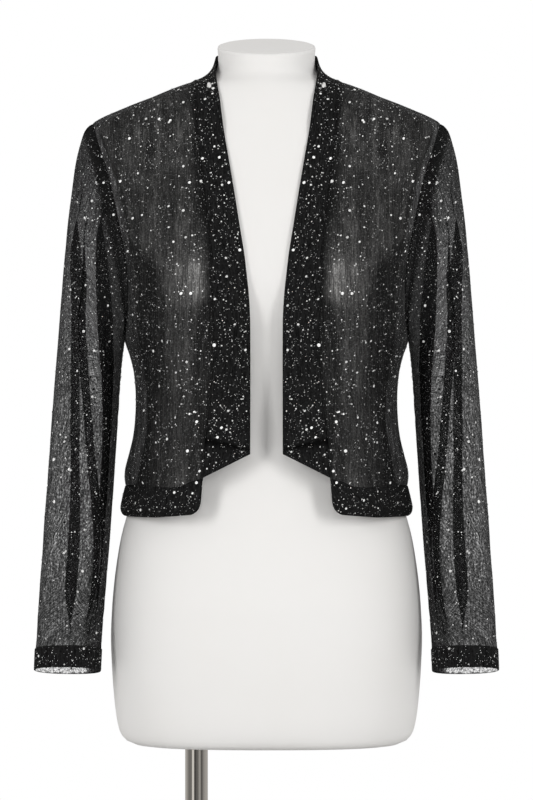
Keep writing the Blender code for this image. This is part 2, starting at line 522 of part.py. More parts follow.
# Front wall of a ring from its outer to its inner edge, as shares and steps. The layer over a
# pleat and the one under it bend at its folds too, so the layers stay side by side.
def sleeve_front(v, t):
    wide = t["xo"] - t["xi"]
    length = math.dist((t["xo"], t["zo"]), (t["xi"], t["zi"]))
    wall, step, most = [], 0.0, PLEAT_REACH
    for pleat in "abc":
        share, e = pleat_share(t, pleat, most)
        pressed = e["pressed"] * min(1.0, v / 2)
        half = (e[pleat + "_out"] - e[pleat + "_in"]) / 2 / wide
        near = max(share - half, PLEAT_ROOM / wide)
        far = max(share + half, near + PLEAT_WIDE / wide)
        plain = max(share, PLAIN_LEAST[pleat])
        lines = [line * pressed + (plain + gap / length) * (1 - pressed)
                 for line, gap in zip((far, near, near, far, far, near), PLAIN_LINES)]
        if not wall:
            wall = [(1 + (lines[0] - 1) * part, 0.0) for part in (0.0,) + OUTER_RUN]
        elif lines[0] > wall[-1][0]:
            lines[0], wall[-1] = wall[-1][0], (lines[0], step)
        back = step + PLEAT_STEP * pressed
        step = back + PLEAT_STEP * pressed
        wall += zip(lines, (2 * back - step, 2 * back - step, back, back, step, step))
        most = share - PLEAT_APART
    last = wall[-1][0]
    return wall + [(last * (1 - part), step * back) for part, back in INNER_RUN]


def sleeve_ring(v, sign):
    t = SLEEVE.at(v)
    ring = [sleeve_point(t, share, step, True) for share, step in sleeve_front(v, t)]
    ring += [sleeve_point(t, share, 0.0, False) for share in BACK_WALL]
    return [(sign * x, y, z) for x, y, z in ring]


for side, sign in (("right", -1), ("left", 1)):
    cloth("sleeve_" + side, [sleeve_ring(v, sign) for v in SLEEVE_ROWS], SHEER, MESH_CLOTH, True, False)
    cloth("cuff_band_" + side, [sleeve_ring(v, sign) for v in CUFF_ROWS], DOUBLED, BAND_CLOTH, True, False)
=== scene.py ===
# Cropped open-front jacket of sheer black crinkle mesh with silver dots, on a limbless dress form.
# Metres, +Z up, the garment faces -Y. Tables and grids are in millimetres until a mesh is made.

import math
import bpy
import numpy as np
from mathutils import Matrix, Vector
from mathutils.bvhtree import BVHTree


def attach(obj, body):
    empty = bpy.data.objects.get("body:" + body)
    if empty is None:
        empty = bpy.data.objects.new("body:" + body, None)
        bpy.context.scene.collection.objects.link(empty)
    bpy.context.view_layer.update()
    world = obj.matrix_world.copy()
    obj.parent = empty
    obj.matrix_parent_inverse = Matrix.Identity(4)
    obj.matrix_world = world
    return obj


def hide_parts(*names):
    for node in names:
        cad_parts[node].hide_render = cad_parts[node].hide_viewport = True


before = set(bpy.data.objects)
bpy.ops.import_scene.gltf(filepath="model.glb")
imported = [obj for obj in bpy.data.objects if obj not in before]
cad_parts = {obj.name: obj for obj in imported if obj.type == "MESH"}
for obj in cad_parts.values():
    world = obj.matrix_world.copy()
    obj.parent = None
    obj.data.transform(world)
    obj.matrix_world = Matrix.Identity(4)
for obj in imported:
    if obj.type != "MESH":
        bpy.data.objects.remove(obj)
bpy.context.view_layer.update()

MM = 0.001
SIDES = (("right", -1), ("left", 1))
DOUBLED = 2.0        # wall of the bands, hems and cuffs
SHEER = 1.0          # wall of the single cloth, which is one surface here
BODY_GRAIN_X = 115.0  # the front's grain is straight at this distance from the middle
CLEAR = 1.0          # the cloth's distance from the form
TUCK = 1.2           # how far the front panel runs into the band
TUCK_HEM, TUCK_NECK = 2.5, 1.5    # and both panels into the hem and under the neck band
TUCK_HOLE, HOLE_TOP = 2.5, 860.0  # and the front panel under the sleeve, up to this height


# Share of the way from one value to another, held at its ends.
def blend(v, start, stop):
    return min(1.0, max(0.0, (v - start) / (stop - start)))


# Cubic from a to b with the slopes ma and mb at its ends, t running from 0 to 1.
def cubic(t, a, b, ma, mb):
    return ((1 + 2 * t) * (1 - t) ** 2 * a + t * (1 - t) ** 2 * ma
            + t * t * (3 - 2 * t) * b + t * t * (t - 1) * mb)


# Smooth curve through a table without overshoot: rows sorted by their first column.
class Table:
    def __init__(self, names, rows):
        self.names = names
        self.x = np.array([r[0] for r in rows], float)
        self.y = np.array([r[1:] for r in rows], float)
        h = np.diff(self.x)
        d = np.diff(self.y, axis=0) / h[:, None]
        m = np.zeros_like(self.y)
        m[0], m[-1] = d[0], d[-1]
        for i in range(1, len(self.x) - 1):
            same = d[i - 1] * d[i] > 0
            w1, w2 = 2 * h[i] + h[i - 1], h[i] + 2 * h[i - 1]
            safe = np.where(same, d[i - 1], 1.0), np.where(same, d[i], 1.0)
            m[i] = np.where(same, (w1 + w2) / (w1 / safe[0] + w2 / safe[1]), 0.0)
        self.m, self.h = m, h

    def at(self, v):
        v = min(max(v, self.x[0]), self.x[-1])
        i = int(min(max(np.searchsorted(self.x, v) - 1, 0), len(self.h) - 1))
        h = self.h[i]
        out = cubic((v - self.x[i]) / h, self.y[i], self.y[i + 1], h * self.m[i], h * self.m[i + 1])
        return dict(zip(self.names, out))


# Dress form, level sections: half width, depth to the front and to the back, squareness, and lift
# of the back over the front, in degrees, because the neck cap slants forward.
FORM = Table(("w", "f", "b", "p", "tilt"), [
    (222.0, 136, 94, 94, 2.5, 0), (223.0, 144, 99, 99, 2.5, 0), (227.0, 154, 103, 103, 2.4, 0),
    (236.0, 161, 107, 108, 2.3, 0), (252.0, 164.8, 110, 112, 2.3, 0), (274.4, 167.5, 112, 115, 2.3, 0),
    (304.0, 169.7, 114, 119, 2.3, 0), (340.0, 171, 115, 121, 2.3, 0), (371.0, 169.8, 115, 122, 2.3, 0),
    (397.6, 167.6, 113, 121, 2.3, 0), (431.7, 163.0, 110, 117, 2.3, 0), (453.7, 158.8, 107, 113, 2.3, 0),
    (471.3, 154.0, 104, 110, 2.3, 0), (500.0, 146.0, 100, 103, 2.3, 0), (530.0, 138.5, 94, 94, 2.2, 0),
    (560.0, 133.0, 89, 87, 2.2, 0), (585.0, 131.0, 87, 84, 2.2, 0), (610.0, 132.0, 88, 85, 2.2, 0),
    (640.0, 136.0, 91, 90, 2.3, 0), (665.0, 140.5, 94, 95, 2.4, 0), (700.0, 144.0, 98, 101, 2.5, 0),
    (740.0, 147.0, 100, 106, 2.7, 0), (780.0, 152.5, 98, 108, 2.8, 0), (811.0, 158.5, 94, 107, 2.8, 0),
    (839.0, 165.5, 88, 103, 2.8, 0), (866.0, 174.0, 81, 97, 2.7, 0), (885.0, 181.0, 76, 92, 2.6, 0),
    (897.0, 183.5, 73, 89, 2.4, 0), (905.0, 179.0, 71, 87, 2.3, 0), (910.0, 172.0, 70, 85, 2.2, 0),
    (917.0, 157.0, 68, 81, 2.2, 0), (924.5, 140.0, 66, 77, 2.2, 0), (931.0, 124.0, 64, 73, 2.2, 0),
    (937.0, 109.0, 62, 69, 2.2, 0), (942.0, 96.0, 60, 66, 2.15, 0), (946.5, 83.0, 58, 62.5, 2.1, 0),
    (950.0, 72.5, 56.5, 60, 2.05, 1), (953.5, 64.0, 55, 58, 2.0, 2), (958.0, 58.0, 53.5, 56, 2.0, 4),
    (964.0, 54.6, 52.5, 55, 2.0, 7.5), (972.0, 53.2, 52, 54, 2.0, 10.5), (981.0, 53.4, 52, 54, 2.0, 12.5),
    (986.5, 53.9, 52, 54, 2.0, 13.3), (988.6, 53.2, 51.4, 53.4, 2.0, 13.4),
    (989.2, 51.6, 50, 52, 2.0, 13.4)])
BUST = dict(x=90.0, z=722.0, side=48.0, over=44.0, under=36.0, high=37.0)
SIDE_FADE = 1.6      # how fast the bust comes in from the sides


def side_power(value, power):
    return math.copysign(abs(value) ** power, value)


def bust_rise(x, z):
    spread = BUST["over"] if z > BUST["z"] else BUST["under"]
    return BUST["high"] * (math.exp(-((abs(x) - BUST["x"]) / BUST["side"]) ** 2 / 2)
                           * math.exp(-((z - BUST["z"]) / spread) ** 2 / 2))


def form_point(z, a):
    s = FORM.at(z)
    x = s["w"] * side_power(math.sin(a), 2 / s["p"])
    c = side_power(math.cos(a), 2 / s["p"])
    y = -s["f"] * c if c > 0 else -s["b"] * c
    if c > 0:
        y -= bust_rise(x, z) * min(1.0, c * SIDE_FADE)
    return x, y, z + y * math.tan(math.radians(s["tilt"]))


# Jacket body, level sections. The front runs from its outer end (x, y) round to the centre
# front depth; outer end: side seam below the armpit, armhole between, shoulder seam above.
BODY_FRONT = Table(("x", "y", "f", "p", "rise"), [
    (473.6, 154.9, 0, 105, 2.4, 19), (475.8, 157.9, 0, 108, 2.4, 19), (481.0, 159.6, 0, 108.7, 2.4, 19),
    (494.0, 157.3, 0, 108, 2.4, 19.5),
    (506.0, 154.3, 0, 107.5, 2.4, 20), (513.0, 155.7, 0, 107, 2.4, 21), (524.0, 155.0, 0, 106.5, 2.4, 22),
    (540.0, 150.8, 0, 106, 2.4, 23.5), (558.0, 146.4, 0, 105.5, 2.4, 25), (579.0, 143.9, 0, 102, 2.4, 27),
    (600.0, 143.2, 0, 98.5, 2.4, 29), (620.0, 144.6, 0, 97, 2.4, 31), (639.0, 147.3, 0, 97, 2.4, 33),
    (655.0, 152.0, 0, 98, 2.4, 35), (667.0, 155.6, 0, 99.5, 2.4, 36), (676.0, 154.0, -18, 101, 2.3, 37),
    (695.0, 151.0, -40, 103.5, 2.1, 38), (720.0, 149.5, -56, 102.5, 2.0, 39),
    (745.0, 151.5, -62, 101.5, 1.9, 34), (770.0, 156.0, -62, 100.5, 1.85, 23),
    (795.0, 161.0, -58, 98.0, 1.8, 13), (820.0, 166.0, -53, 94, 1.8, 6),
    (843.0, 171.5, -46, 89.5, 1.8, 3), (863.0, 178.0, -38, 84.5, 1.8, 1), (882.0, 184.0, -26, 79.5, 1.9, 0),
    (893.0, 187.5, -15, 76.5, 2.0, 0), (903.5, 190.5, 0, 73.8, 2.1, 0), (906.6, 186.0, 0, 73.0, 2.1, 0),
    (909.8, 180.0, 0, 72, 2.15, 0), (918.0, 161.0, 0, 70, 2.2, 0), (925.5, 143.0, 0, 68, 2.2, 0),
    (932.0, 126.0, 0, 66, 2.2, 0), (938.0, 112.0, 0, 64, 2.2, 0), (943.5, 98.0, 0, 62, 2.2, 0),
    (948.0, 85.0, 0, 60, 2.15, 0), (950.0, 79.5, 0, 59, 2.1, 0)])
BODY_BACK = Table(("x", "y", "b", "p"), [
    (473.6, 154.9, 0, 114, 2.3), (475.8, 157.9, 0, 117, 2.3), (481.0, 159.6, 0, 117.4, 2.3),
    (494.0, 157.3, 0, 115.5, 2.3),
    (506.0, 154.3, 0, 114, 2.3), (513.0, 155.7, 0, 113.5, 2.3), (524.0, 155.0, 0, 112.5, 2.3),
    (540.0, 150.8, 0, 111, 2.3), (558.0, 146.4, 0, 109, 2.3), (579.0, 143.9, 0, 107, 2.3),
    (600.0, 143.2, 0, 106, 2.3), (620.0, 144.6, 0, 106, 2.3), (639.0, 147.3, 0, 106.5, 2.3),
    (655.0, 152.0, 0, 107, 2.3), (667.0, 155.6, 0, 107.5, 2.3), (676.0, 155.0, 18, 108, 2.25),
    (695.0, 155.5, 38, 109, 2.15), (720.0, 158.0, 54, 110, 2.1), (745.0, 161.5, 62, 110.5, 2.0),
    (770.0, 165.5, 65, 111, 1.95), (795.0, 169.5, 64, 110.5, 1.9), (820.0, 173.5, 59, 109, 1.9),
    (843.0, 177.5, 51, 105.5, 1.9), (863.0, 181.5, 42, 100.5, 1.95), (882.0, 185.5, 29, 95.5, 2.0),
    (893.0, 188.0, 17, 92.5, 2.1), (903.5, 190.5, 0, 89.6, 2.15), (906.6, 186.0, 0, 88.5, 2.15),
    (909.8, 180.0, 0, 87.5, 2.2), (918.0, 161.0, 0, 83.5, 2.2), (925.5, 143.0, 0, 79.5, 2.2),
    (932.0, 126.0, 0, 75.5, 2.2), (938.0, 112.0, 0, 72, 2.2), (943.5, 98.0, 0, 68.5, 2.2),
    (948.0, 85.0, 0, 65, 2.15), (950.0, 79.5, 0, 63, 2.1)])
ARMPIT, SHOULDER, NECKLINE, HEM_SEAM, HEM = 667.0, 903.5, 950.0, 506.0, 473.6

# Seam between front panel and band, and the band's open edge: height, distance from the middle.
BAND_SEAM = Table(("x",), [
    (472.0, 74.0), (490.0, 71.0), (516.3, 68.5), (538.0, 67.2), (561.4, 65.5), (588.2, 61.9), (611.0, 59.2),
    (634.3, 57.4), (662.0, 56.4), (689.0, 56.6), (724.4, 59.1), (748.0, 59.4), (772.0, 60.4), (811.3, 65.0),
    (852.0, 69.5), (886.0, 73.5), (906.0, 75.2), (924.5, 76.2), (938.0, 77.4), (948.0, 78.4),
    (950.0, 78.8)])
BAND_EDGE = Table(("x",), [
    (541.8, 17.5), (560.0, 17.4), (638.6, 17.3), (680.0, 17.4), (707.0, 18.5), (739.5, 21.7), (761.0, 24.4),
    (776.0, 26.9), (802.5, 31.1), (828.5, 35.3), (871.7, 42.6), (892.5, 46.2), (912.0, 48.7), (930.0, 51.0),
    (942.0, 53.3), (950.0, 54.8), (957.0, 55.7), (966.0, 56.2), (978.0, 54.9)])
# Where the open edge leaves the body for the neck: height, depth.
NECK_DEPTH = Table(("y",), [
    (880.0, -80.5), (892.5, -77.5), (912.0, -71.0), (930.0, -63.5), (942.0, -54.0), (950.0, -45.0),
    (957.0, -34.0), (966.0, -18.0), (978.0, 4.0)])
# Rows of the band: height at its seam, height at its open edge, push forward in mm (turned-up end).
BAND_ROWS = [(516.3, 541.8, 0.0), (526.0, 542.9, -1.2), (538.0, 544.1, -3.0), (548.0, 545.2, -4.6),
             (555.5, 546.2, -5.2), (559.2, 547.6, -1.0), (561.5, 549.4, 2.6), (565.5, 553.0, 3.0),
             (574.0, 562.0, 2.4), (589.0, 580.0, 1.6), (611.0, 605.0, 1.2), (636.0, 632.0, 1.0),
             (662.0, 659.0, 0.8), (689.0, 687.0, 0.6), (712.0, 711.0, 0.4), (736.0, 736.0, 0.3),
             (760.0, 761.0, 0.2), (785.0, 786.0, 0.1), (811.0, 813.0, 0.0), (836.0, 840.0, 0.0),
             (858.0, 864.0, 0.0), (878.0, 886.0, 0.0), (896.0, 904.0, 0.0), (912.0, 920.0, 0.0),
             (925.0, 932.5, 0.0), (936.0, 943.0, 0.0), (943.5, 951.0, 0.0), (948.5, 960.0, 0.0)]
# Back half of the band: angle from the side round to centre back, then the height of its free edge.
NECK_BACK = [(2, 978.0), (20, 980.5), (38, 983.0), (54, 985.0), (70, 986.5), (90, 987.5)]
NECK_R, NECK_Y = 54.9, 4.0       # circle of the free edge behind the neck, and its centre's depth
BAND_COLS = 5
BAND_LEAVES = (885.0, 925.0)     # seam heights between which the band leaves the body's curve
EDGE_LEAVES = (872.0, 892.0)     # the same for its open edge
BAND_SAGS = (915.0, 940.0)       # seam heights between which it starts to sag inwards
SAG, BACK_SAG = (4.6, 0.0, 3.4), (5.0, 3.0, 3.6)   # how far its middle sags, in front and behind
LEAST_SAG = 0.35                        # share of it that is left at the middle of the back
PUSH_START, PUSH_RISE = 0.18, 0.9       # shape of a row's forward push across the band


def section(t, front, a):
    x = t["x"] * side_power(math.sin(a), 2 / t["p"])
    c = side_power(math.cos(a), 2 / t["p"])
    if front:
        rise = t["rise"] * math.exp(-((abs(x) - BUST["x"]) / BUST["side"]) ** 2 / 2)
        return x, t["y"] - (t["f"] + t["y"]) * c - rise * min(1.0, c * SIDE_FADE)
    return x, t["y"] + (t["b"] - t["y"]) * c


# Angle round a level section at which it is x from the middle.
def angle_at(t, x):
    return math.asin(min(1.0, (abs(x) / t["x"]) ** (t["p"] / 2)))


def body_depth(z, x):
    t = BODY_FRONT.at(z)
    return section(t, True, angle_at(t, x))[1]


FRONT_LEVELS = [HEM_SEAM - TUCK_HEM, 513, 524, 540, 560, 585, 610, 634, 652, 663, 667, 672, 682, 696, 714,
                734, 756, 780, 806, 832, 856, 876, 889, 897, 903.5, 906.6, 910.5, 918, 925.5, 932, 938,
                943, 946.5, 949, NECKLINE + TUCK_NECK]
BACK_LEVELS = [HEM_SEAM - TUCK_HEM, 524, 548, 580, 612, 642, 660, 667, 673, 684, 700, 722, 748, 778, 808,
               836, 860, 879, 890, 897, 903.5, 906.6, 910.5, 918, 925.5, 932, 938, 943, 947,
               NECKLINE + TUCK_NECK]
FRONT_COLS, BACK_COLS = 9, 9
LIFT = dict(high=9.7, outer=100.0, inner=69.0, top=540.0)   # the hem's seam rises towards the opening


def hem_lift(x):
    t = blend(abs(x), LIFT["outer"], LIFT["inner"])
    return LIFT["high"] * t * t * (3 - 2 * t)


def front_grid(sign):
    P = []
    for z in FRONT_LEVELS:
        t = BODY_FRONT.at(z)
        inner = angle_at(t, min(BAND_SEAM.at(z)["x"] - TUCK, t["x"] - TUCK))
        row = []
        for j in range(FRONT_COLS + 1):
            a = math.pi / 2 + (inner - math.pi / 2) * j / FRONT_COLS
            x, y = section(t, True, a)
            x += TUCK_HOLE if j == 0 and ARMPIT < z < HOLE_TOP else 0.0
            row.append((sign * x, y, z + hem_lift(x) * blend(z, LIFT["top"], HEM_SEAM)))
        P.append(row)
    return P


# Row behind the body, from the wearer's right to the left.
def back_row(z, cols):
    t = BODY_BACK.at(z)
    row = []
    for j in range(-cols, cols + 1):
        x, y = section(t, False, math.pi / 2 * abs(j) / cols)
        row.append((math.copysign(x, j) if j else 0.0, y, z))
    return row


def back_grid():
    return [back_row(z, BACK_COLS)[::-1] for z in BACK_LEVELS]


HEM_LEVELS = [HEM, 475.8, 481.0, 493.0, HEM_SEAM]
HEM_COLS = 13
HEM_EDGE = dict(high=3.6, outer=120.0, inner=80.0)    # the free edge rises less than the seam
HEM_ROUND, HEM_ROUND_HIGH = 9.0, 11.0                 # rounded front corner


def hem_end(z):
    curve = 1 - math.sqrt(1 - (1 - blend(z, HEM, HEM + HEM_ROUND_HIGH)) ** 2)
    return BAND_SEAM.at(min(z + LIFT["high"], BAND_ROWS[0][0]))["x"] + HEM_ROUND * curve


def hem_front(z, sign):
    t = BODY_FRONT.at(z)
    share = blend(z, HEM, HEM_SEAM)
    first = angle_at(t, hem_end(z))
    row = []
    for j in range(HEM_COLS):
        x, y = section(t, True, first + (math.pi / 2 - first) * j / HEM_COLS)
        edge = HEM_EDGE["high"] * blend(x, HEM_EDGE["outer"], HEM_EDGE["inner"])
        row.append((sign * x, y, z + hem_lift(x) * share + edge * (1 - share)))
    return row


def hem_grid():
    return [hem_front(z, -1) + back_row(z, HEM_COLS) + hem_front(z, 1)[::-1] for z in HEM_LEVELS]


# Front band, on round the back of the neck
def band_row(zo, zi, push):
    xo = BAND_SEAM.at(zo)["x"]
    outer = np.array((xo, body_depth(zo, xo), zo))
    xi, off = BAND_EDGE.at(zi)["x"], blend(zi, *EDGE_LEAVES)
    inner = np.array((xi, body_depth(zi, xi) * (1 - off) + NECK_DEPTH.at(zi)["y"] * off, zi))
    held = 1 - blend(zo, *BAND_LEAVES)
    row = []
    for j in range(BAND_COLS + 1):
        u = j / BAND_COLS
        p = outer * (1 - u) + inner * u
        y = body_depth(p[2], p[0])
        p[1] = p[1] * (1 - held) + (y if off < 1 else min(y, p[1])) * held
        p -= np.array(SAG) * math.sin(math.pi * u) * blend(zo, *BAND_SAGS)
        bend = math.sin(math.pi * min(1.0, PUSH_START + PUSH_RISE * (1 - u)))
        p[1] -= (DOUBLED - SHEER) / 2 + push * bend
        row.append(p)
    return row


def neck_row(deg, top):
    t, a = BODY_BACK.at(NECKLINE), math.radians(deg)
    outer = np.array((t["x"] * math.cos(a), t["b"] * math.sin(a), NECKLINE))
    inner = np.array((NECK_R * math.cos(a), NECK_Y + NECK_R * math.sin(a), top))
    sag = np.array(BACK_SAG) * (math.cos(a), math.sin(a), 1.0) * max(LEAST_SAG, math.cos(a))
    return [outer * (1 - u) + inner * u - sag * math.sin(math.pi * u)
            for u in (j / BAND_COLS for j in range(BAND_COLS + 1))]


def band_grid(sign):
    rows = [band_row(*r) for r in BAND_ROWS] + [neck_row(*r) for r in NECK_BACK]
    return np.array(rows) * (sign, 1, 1)


# Sleeves: each ring runs from its outer point to its inner point; columns are the outer point
# (x, z), the inner point (x, z), centre depth, half depth front and back, forward pitch in degrees,
# and how far the ring keeps the armhole's curve.
SLEEVE = Table(("xo", "zo", "xi", "zi", "yc", "df", "db", "pitch", "hole"), [
    (0.0, 191.9, 903.6, 157.2, 667.0, 1, 61, 64, 0, 1.0),
    (1.0, 199.0, 899.6, 157.3, 664.5, 1, 63, 66, 0, 0.92),
    (2.0, 205.4, 884.0, 157.6, 661.0, 1, 64, 67, 0, 0.75),
    (3.0, 210.8, 861.0, 158.0, 656.0, 1, 64.5, 67.5, 0, 0.55),
    (4.0, 216.0, 820.0, 158.6, 648.0, 1, 64, 67, 0, 0.35),
    (5.0, 221.8, 768.0, 159.4, 636.0, 1, 63, 65, 0, 0.18),
    (6.0, 226.4, 706.0, 160.6, 618.0, 1, 61, 62.5, 1, 0.06),
    (7.0, 231.0, 648.0, 162.2, 594.0, 0, 58.5, 60, 2, 0),
    (8.0, 235.4, 592.0, 164.0, 562.0, -2, 55, 57, 4, 0),
    (9.0, 239.4, 535.0, 166.6, 520.0, -6, 51, 53, 6, 0),
    (10.0, 242.9, 482.0, 169.3, 476.0, -12, 47, 49, 8, 0),
    (11.0, 246.3, 430.0, 172.6, 429.0, -20, 43.5, 45, 10, 0),
    (12.0, 249.3, 382.0, 176.4, 382.0, -28, 40, 41.5, 10, 0),
    (13.0, 251.1, 349.0, 178.8, 349.0, -34, 38, 39.5, 10, 0),
    (14.0, 252.1, 328.6, 180.3, 328.6, -38, 37, 38, 9.6, 0),
    (15.0, 252.8, 305.2, 181.4, 304.4, -42, 36.5, 37, 9.2, 0)])
SLEEVE_ROWS = [0, 0.6, 1.4, 2.2, 3, 3.9, 4.8, 5.7, 6.6, 7.6, 8.7, 9.8, 10.9, 12, 13, 14.06]
CUFF_ROWS = [14.015, 14.5, 15.0]
SLEEVE_ROUND = 2.3                     # squareness of a ring
ARMHOLE_X = (157.2, 191.9)             # the armhole's foot and head

# Three knife pleats down the front of the sleeve, a on the outer side: height, then each pleat's
# outer and inner fold line, and how far the pleats are pressed in.
PLEATS = Table(("a_out", "a_in", "b_out", "b_in", "c_out", "c_in", "pressed"), [
    (345.0, 218.6, 206.0, 191.0, 185.0, 184.5, 178.0, 0),
    (403.0, 218.6, 206.0, 191.0, 185.0, 184.5, 178.0, 1),
    (425.0, 216.3, 202.8, 187.5, 182.0, 181.5, 176.5, 1),
    (465.0, 214.2, 202.8, 187.6, 181.0, 180.5, 174.5, 1),
    (506.0, 212.8, 202.8, 192.3, 182.0, 181.5, 172.5, 1),
    (558.0, 212.8, 202.8, 196.9, 188.2, 178.2, 169.5, 1),
    (611.0, 212.8, 203.2, 200.8, 191.8, 179.2, 168.0, 1),
    (654.0, 212.3, 204.0, 203.5, 194.8, 182.5, 166.0, 1),
    (709.0, 211.9, 204.5, 204.0, 197.4, 184.5, 167.0, 1),
    (747.0, 212.0, 200.0, 199.5, 196.0, 183.0, 168.0, 1),
    (790.0, 212.0, 206.0, 200.0, 197.0, 186.0, 176.0, 0.15),
    (800.0, 212.0, 206.0, 200.0, 197.0, 186.0, 176.0, 0)])
PLEAT_STEP = 2.2                       # from one layer of a pleat back to the next
PLAIN_LINES = (5.0, 3.0, 1.0, -1.0, -3.0, -5.0)    # a pleat's six lines while it isn't pressed in
PLAIN_LEAST = dict(a=0.42, b=0.265, c=0.115)       # and the lowest share of a ring for its middle
PLEAT_ROOM, PLEAT_WIDE = 6.0, 2.0      # least distance from the sleeve's inner edge, least width
PLEAT_REACH, PLEAT_APART = 0.88, 0.12  # highest share of a ring for a pleat, and least between two
OUTER_RUN = (0.1, 0.35, 0.68)          # points on the way to the first pleat
INNER_RUN = ((0.45, 1.0), (0.85, 0.75))            # and past the last one, with their step
BACK_WALL = [0.0, 0.03, 0.10, 0.22, 0.38, 0.54, 0.70, 0.83, 0.92, 0.975]


# Point of a ring at a share of its width from the inner edge, stepped back from the front wall.
def sleeve_point(t, share, step, front):
    bulge = max(0.0, 1 - abs(2 * share - 1) ** SLEEVE_ROUND) ** (1 / SLEEVE_ROUND)
    x = t["xi"] * (1 - share) + t["xo"] * share
    z = t["zi"] * (1 - share) + t["zo"] * share
    y = t["yc"] + (step - t["df"] * bulge if front else t["db"] * bulge)
    if t["hole"] > 0:
        h = (BODY_FRONT if front else BODY_BACK).at(ARMPIT + share * (SHOULDER - ARMPIT))
        line = ARMHOLE_X[0] * (1 - share) + ARMHOLE_X[1] * share
        x += (h["x"] - line) * t["hole"]
        y = y * (1 - t["hole"]) + h["y"] * t["hole"]
    return x, y, z - (y - t["yc"]) * math.tan(math.radians(t["pitch"]))


# Share of the ring at which a pleat's middle line crosses it, and the pleats' table there.
def pleat_share(t, pleat, most):
    low, high = 0.0, most
    for _ in range(24):
        share = (low + high) / 2
        x, _, z = sleeve_point(t, share, 0.0, True)
        e = PLEATS.at(z)
        if x < (e[pleat + "_out"] + e[pleat + "_in"]) / 2:
            low = share
        else:
            high = share
    return share, e


# Front wall of a ring from its outer to its inner edge, as shares and steps. The layer over a
# pleat and the one under it bend at its folds too, so the layers stay side by side.
def sleeve_front(v, t):
    wide = t["xo"] - t["xi"]
    length = math.dist((t["xo"], t["zo"]), (t["xi"], t["zi"]))
    wall, step, most = [], 0.0, PLEAT_REACH
    for pleat in "abc":
        share, e = pleat_share(t, pleat, most)
        pressed = e["pressed"] * min(1.0, v / 2)
        half = (e[pleat + "_out"] - e[pleat + "_in"]) / 2 / wide
        near = max(share - half, PLEAT_ROOM / wide)
        far = max(share + half, near + PLEAT_WIDE / wide)
        plain = max(share, PLAIN_LEAST[pleat])
        lines = [line * pressed + (plain + gap / length) * (1 - pressed)
                 for line, gap in zip((far, near, near, far, far, near), PLAIN_LINES)]
        if not wall:
            wall = [(1 + (lines[0] - 1) * part, 0.0) for part in (0.0,) + OUTER_RUN]
        elif lines[0] > wall[-1][0]:
            lines[0], wall[-1] = wall[-1][0], (lines[0], step)
        back = step + PLEAT_STEP * pressed
        step = back + PLEAT_STEP * pressed
        wall += zip(lines, (2 * back - step, 2 * back - step, back, back, step, step))
        most = share - PLEAT_APART
    last = wall[-1][0]
    return wall + [(last * (1 - part), step * back) for part, back in INNER_RUN]


def sleeve_ring(v, sign):
    t = SLEEVE.at(v)
    ring = [sleeve_point(t, share, step, True) for share, step in sleeve_front(v, t)]
    ring += [sleeve_point(t, share, 0.0, False) for share in BACK_WALL]
    return [(sign * x, y, z) for x, y, z in ring]


# Smooth curve through the points of axis 0, cut so that no step is longer than the pitch.
def refine(P, pitch, closed=False):
    P = np.array(P, float)
    if closed:
        ext = np.concatenate([P[-1:], P, P[:2]])
    else:
        ext = np.concatenate([2 * P[:1] - P[1:2], P, 2 * P[-1:] - P[-2:-1]])
    chord = np.linalg.norm(np.diff(ext, axis=0), axis=-1)
    chord = chord.reshape(len(ext) - 1, -1).mean(axis=1) + 1e-4
    knot = np.sqrt(chord)
    out = []
    for i in range(len(ext) - 3):
        p0, p1, p2, p3 = ext[i:i + 4]
        d0, d1, d2 = knot[i:i + 3]
        m1 = ((p1 - p0) / d0 - (p2 - p0) / (d0 + d1) + (p2 - p1) / d1) * d1
        m2 = ((p2 - p1) / d1 - (p3 - p1) / (d1 + d2) + (p3 - p2) / d2) * d1
        parts = max(1, math.ceil(chord[i + 1] / pitch))
        out += [cubic(k / parts, p1, p2, m1, m2) for k in range(parts)]
    if not closed:
        out.append(P[-1])
    return np.array(out)


def fine(P, rows, cols, around=False):
    P = refine(P, rows)
    return refine(P.swapaxes(0, 1), cols, around).swapaxes(0, 1)


def grid_normals(P, around):
    up = np.gradient(P, axis=0)
    if around:
        side = np.roll(P, -1, axis=1) - np.roll(P, 1, axis=1)
    else:
        side = np.gradient(P, axis=1)
    n = np.cross(side, up)
    return n / np.maximum(np.linalg.norm(n, axis=2, keepdims=True), 1e-9)


# Normals of a piece of the garment, turned so that they point away from the body or the arm.
def outward(P, around):
    N = grid_normals(P, around)
    middle = P.mean(axis=(0, 1)) * (1, 1, 0) if around else np.zeros(3)
    away = ((P - middle) * (1, 1, 0) * N).sum()
    return N if away > 0 else -N


# Sums of a few waves with fixed phases: a smooth, repeatable unevenness between -1 and 1.
def waves(a, b, scales, seed):
    rng = np.random.default_rng(seed)
    out = np.zeros_like(a)
    for long_a, long_b in scales:
        turn = rng.uniform(0, 2 * math.pi, 3)
        out += np.sin(2 * math.pi * a / long_a + turn[0] + 1.3 * np.sin(2 * math.pi * b / long_b + turn[1]))
        out += 0.6 * np.sin(2 * math.pi * (a / long_a * 0.61 + b / long_b * 1.7) + turn[2])
    return out / (1.6 * len(scales))


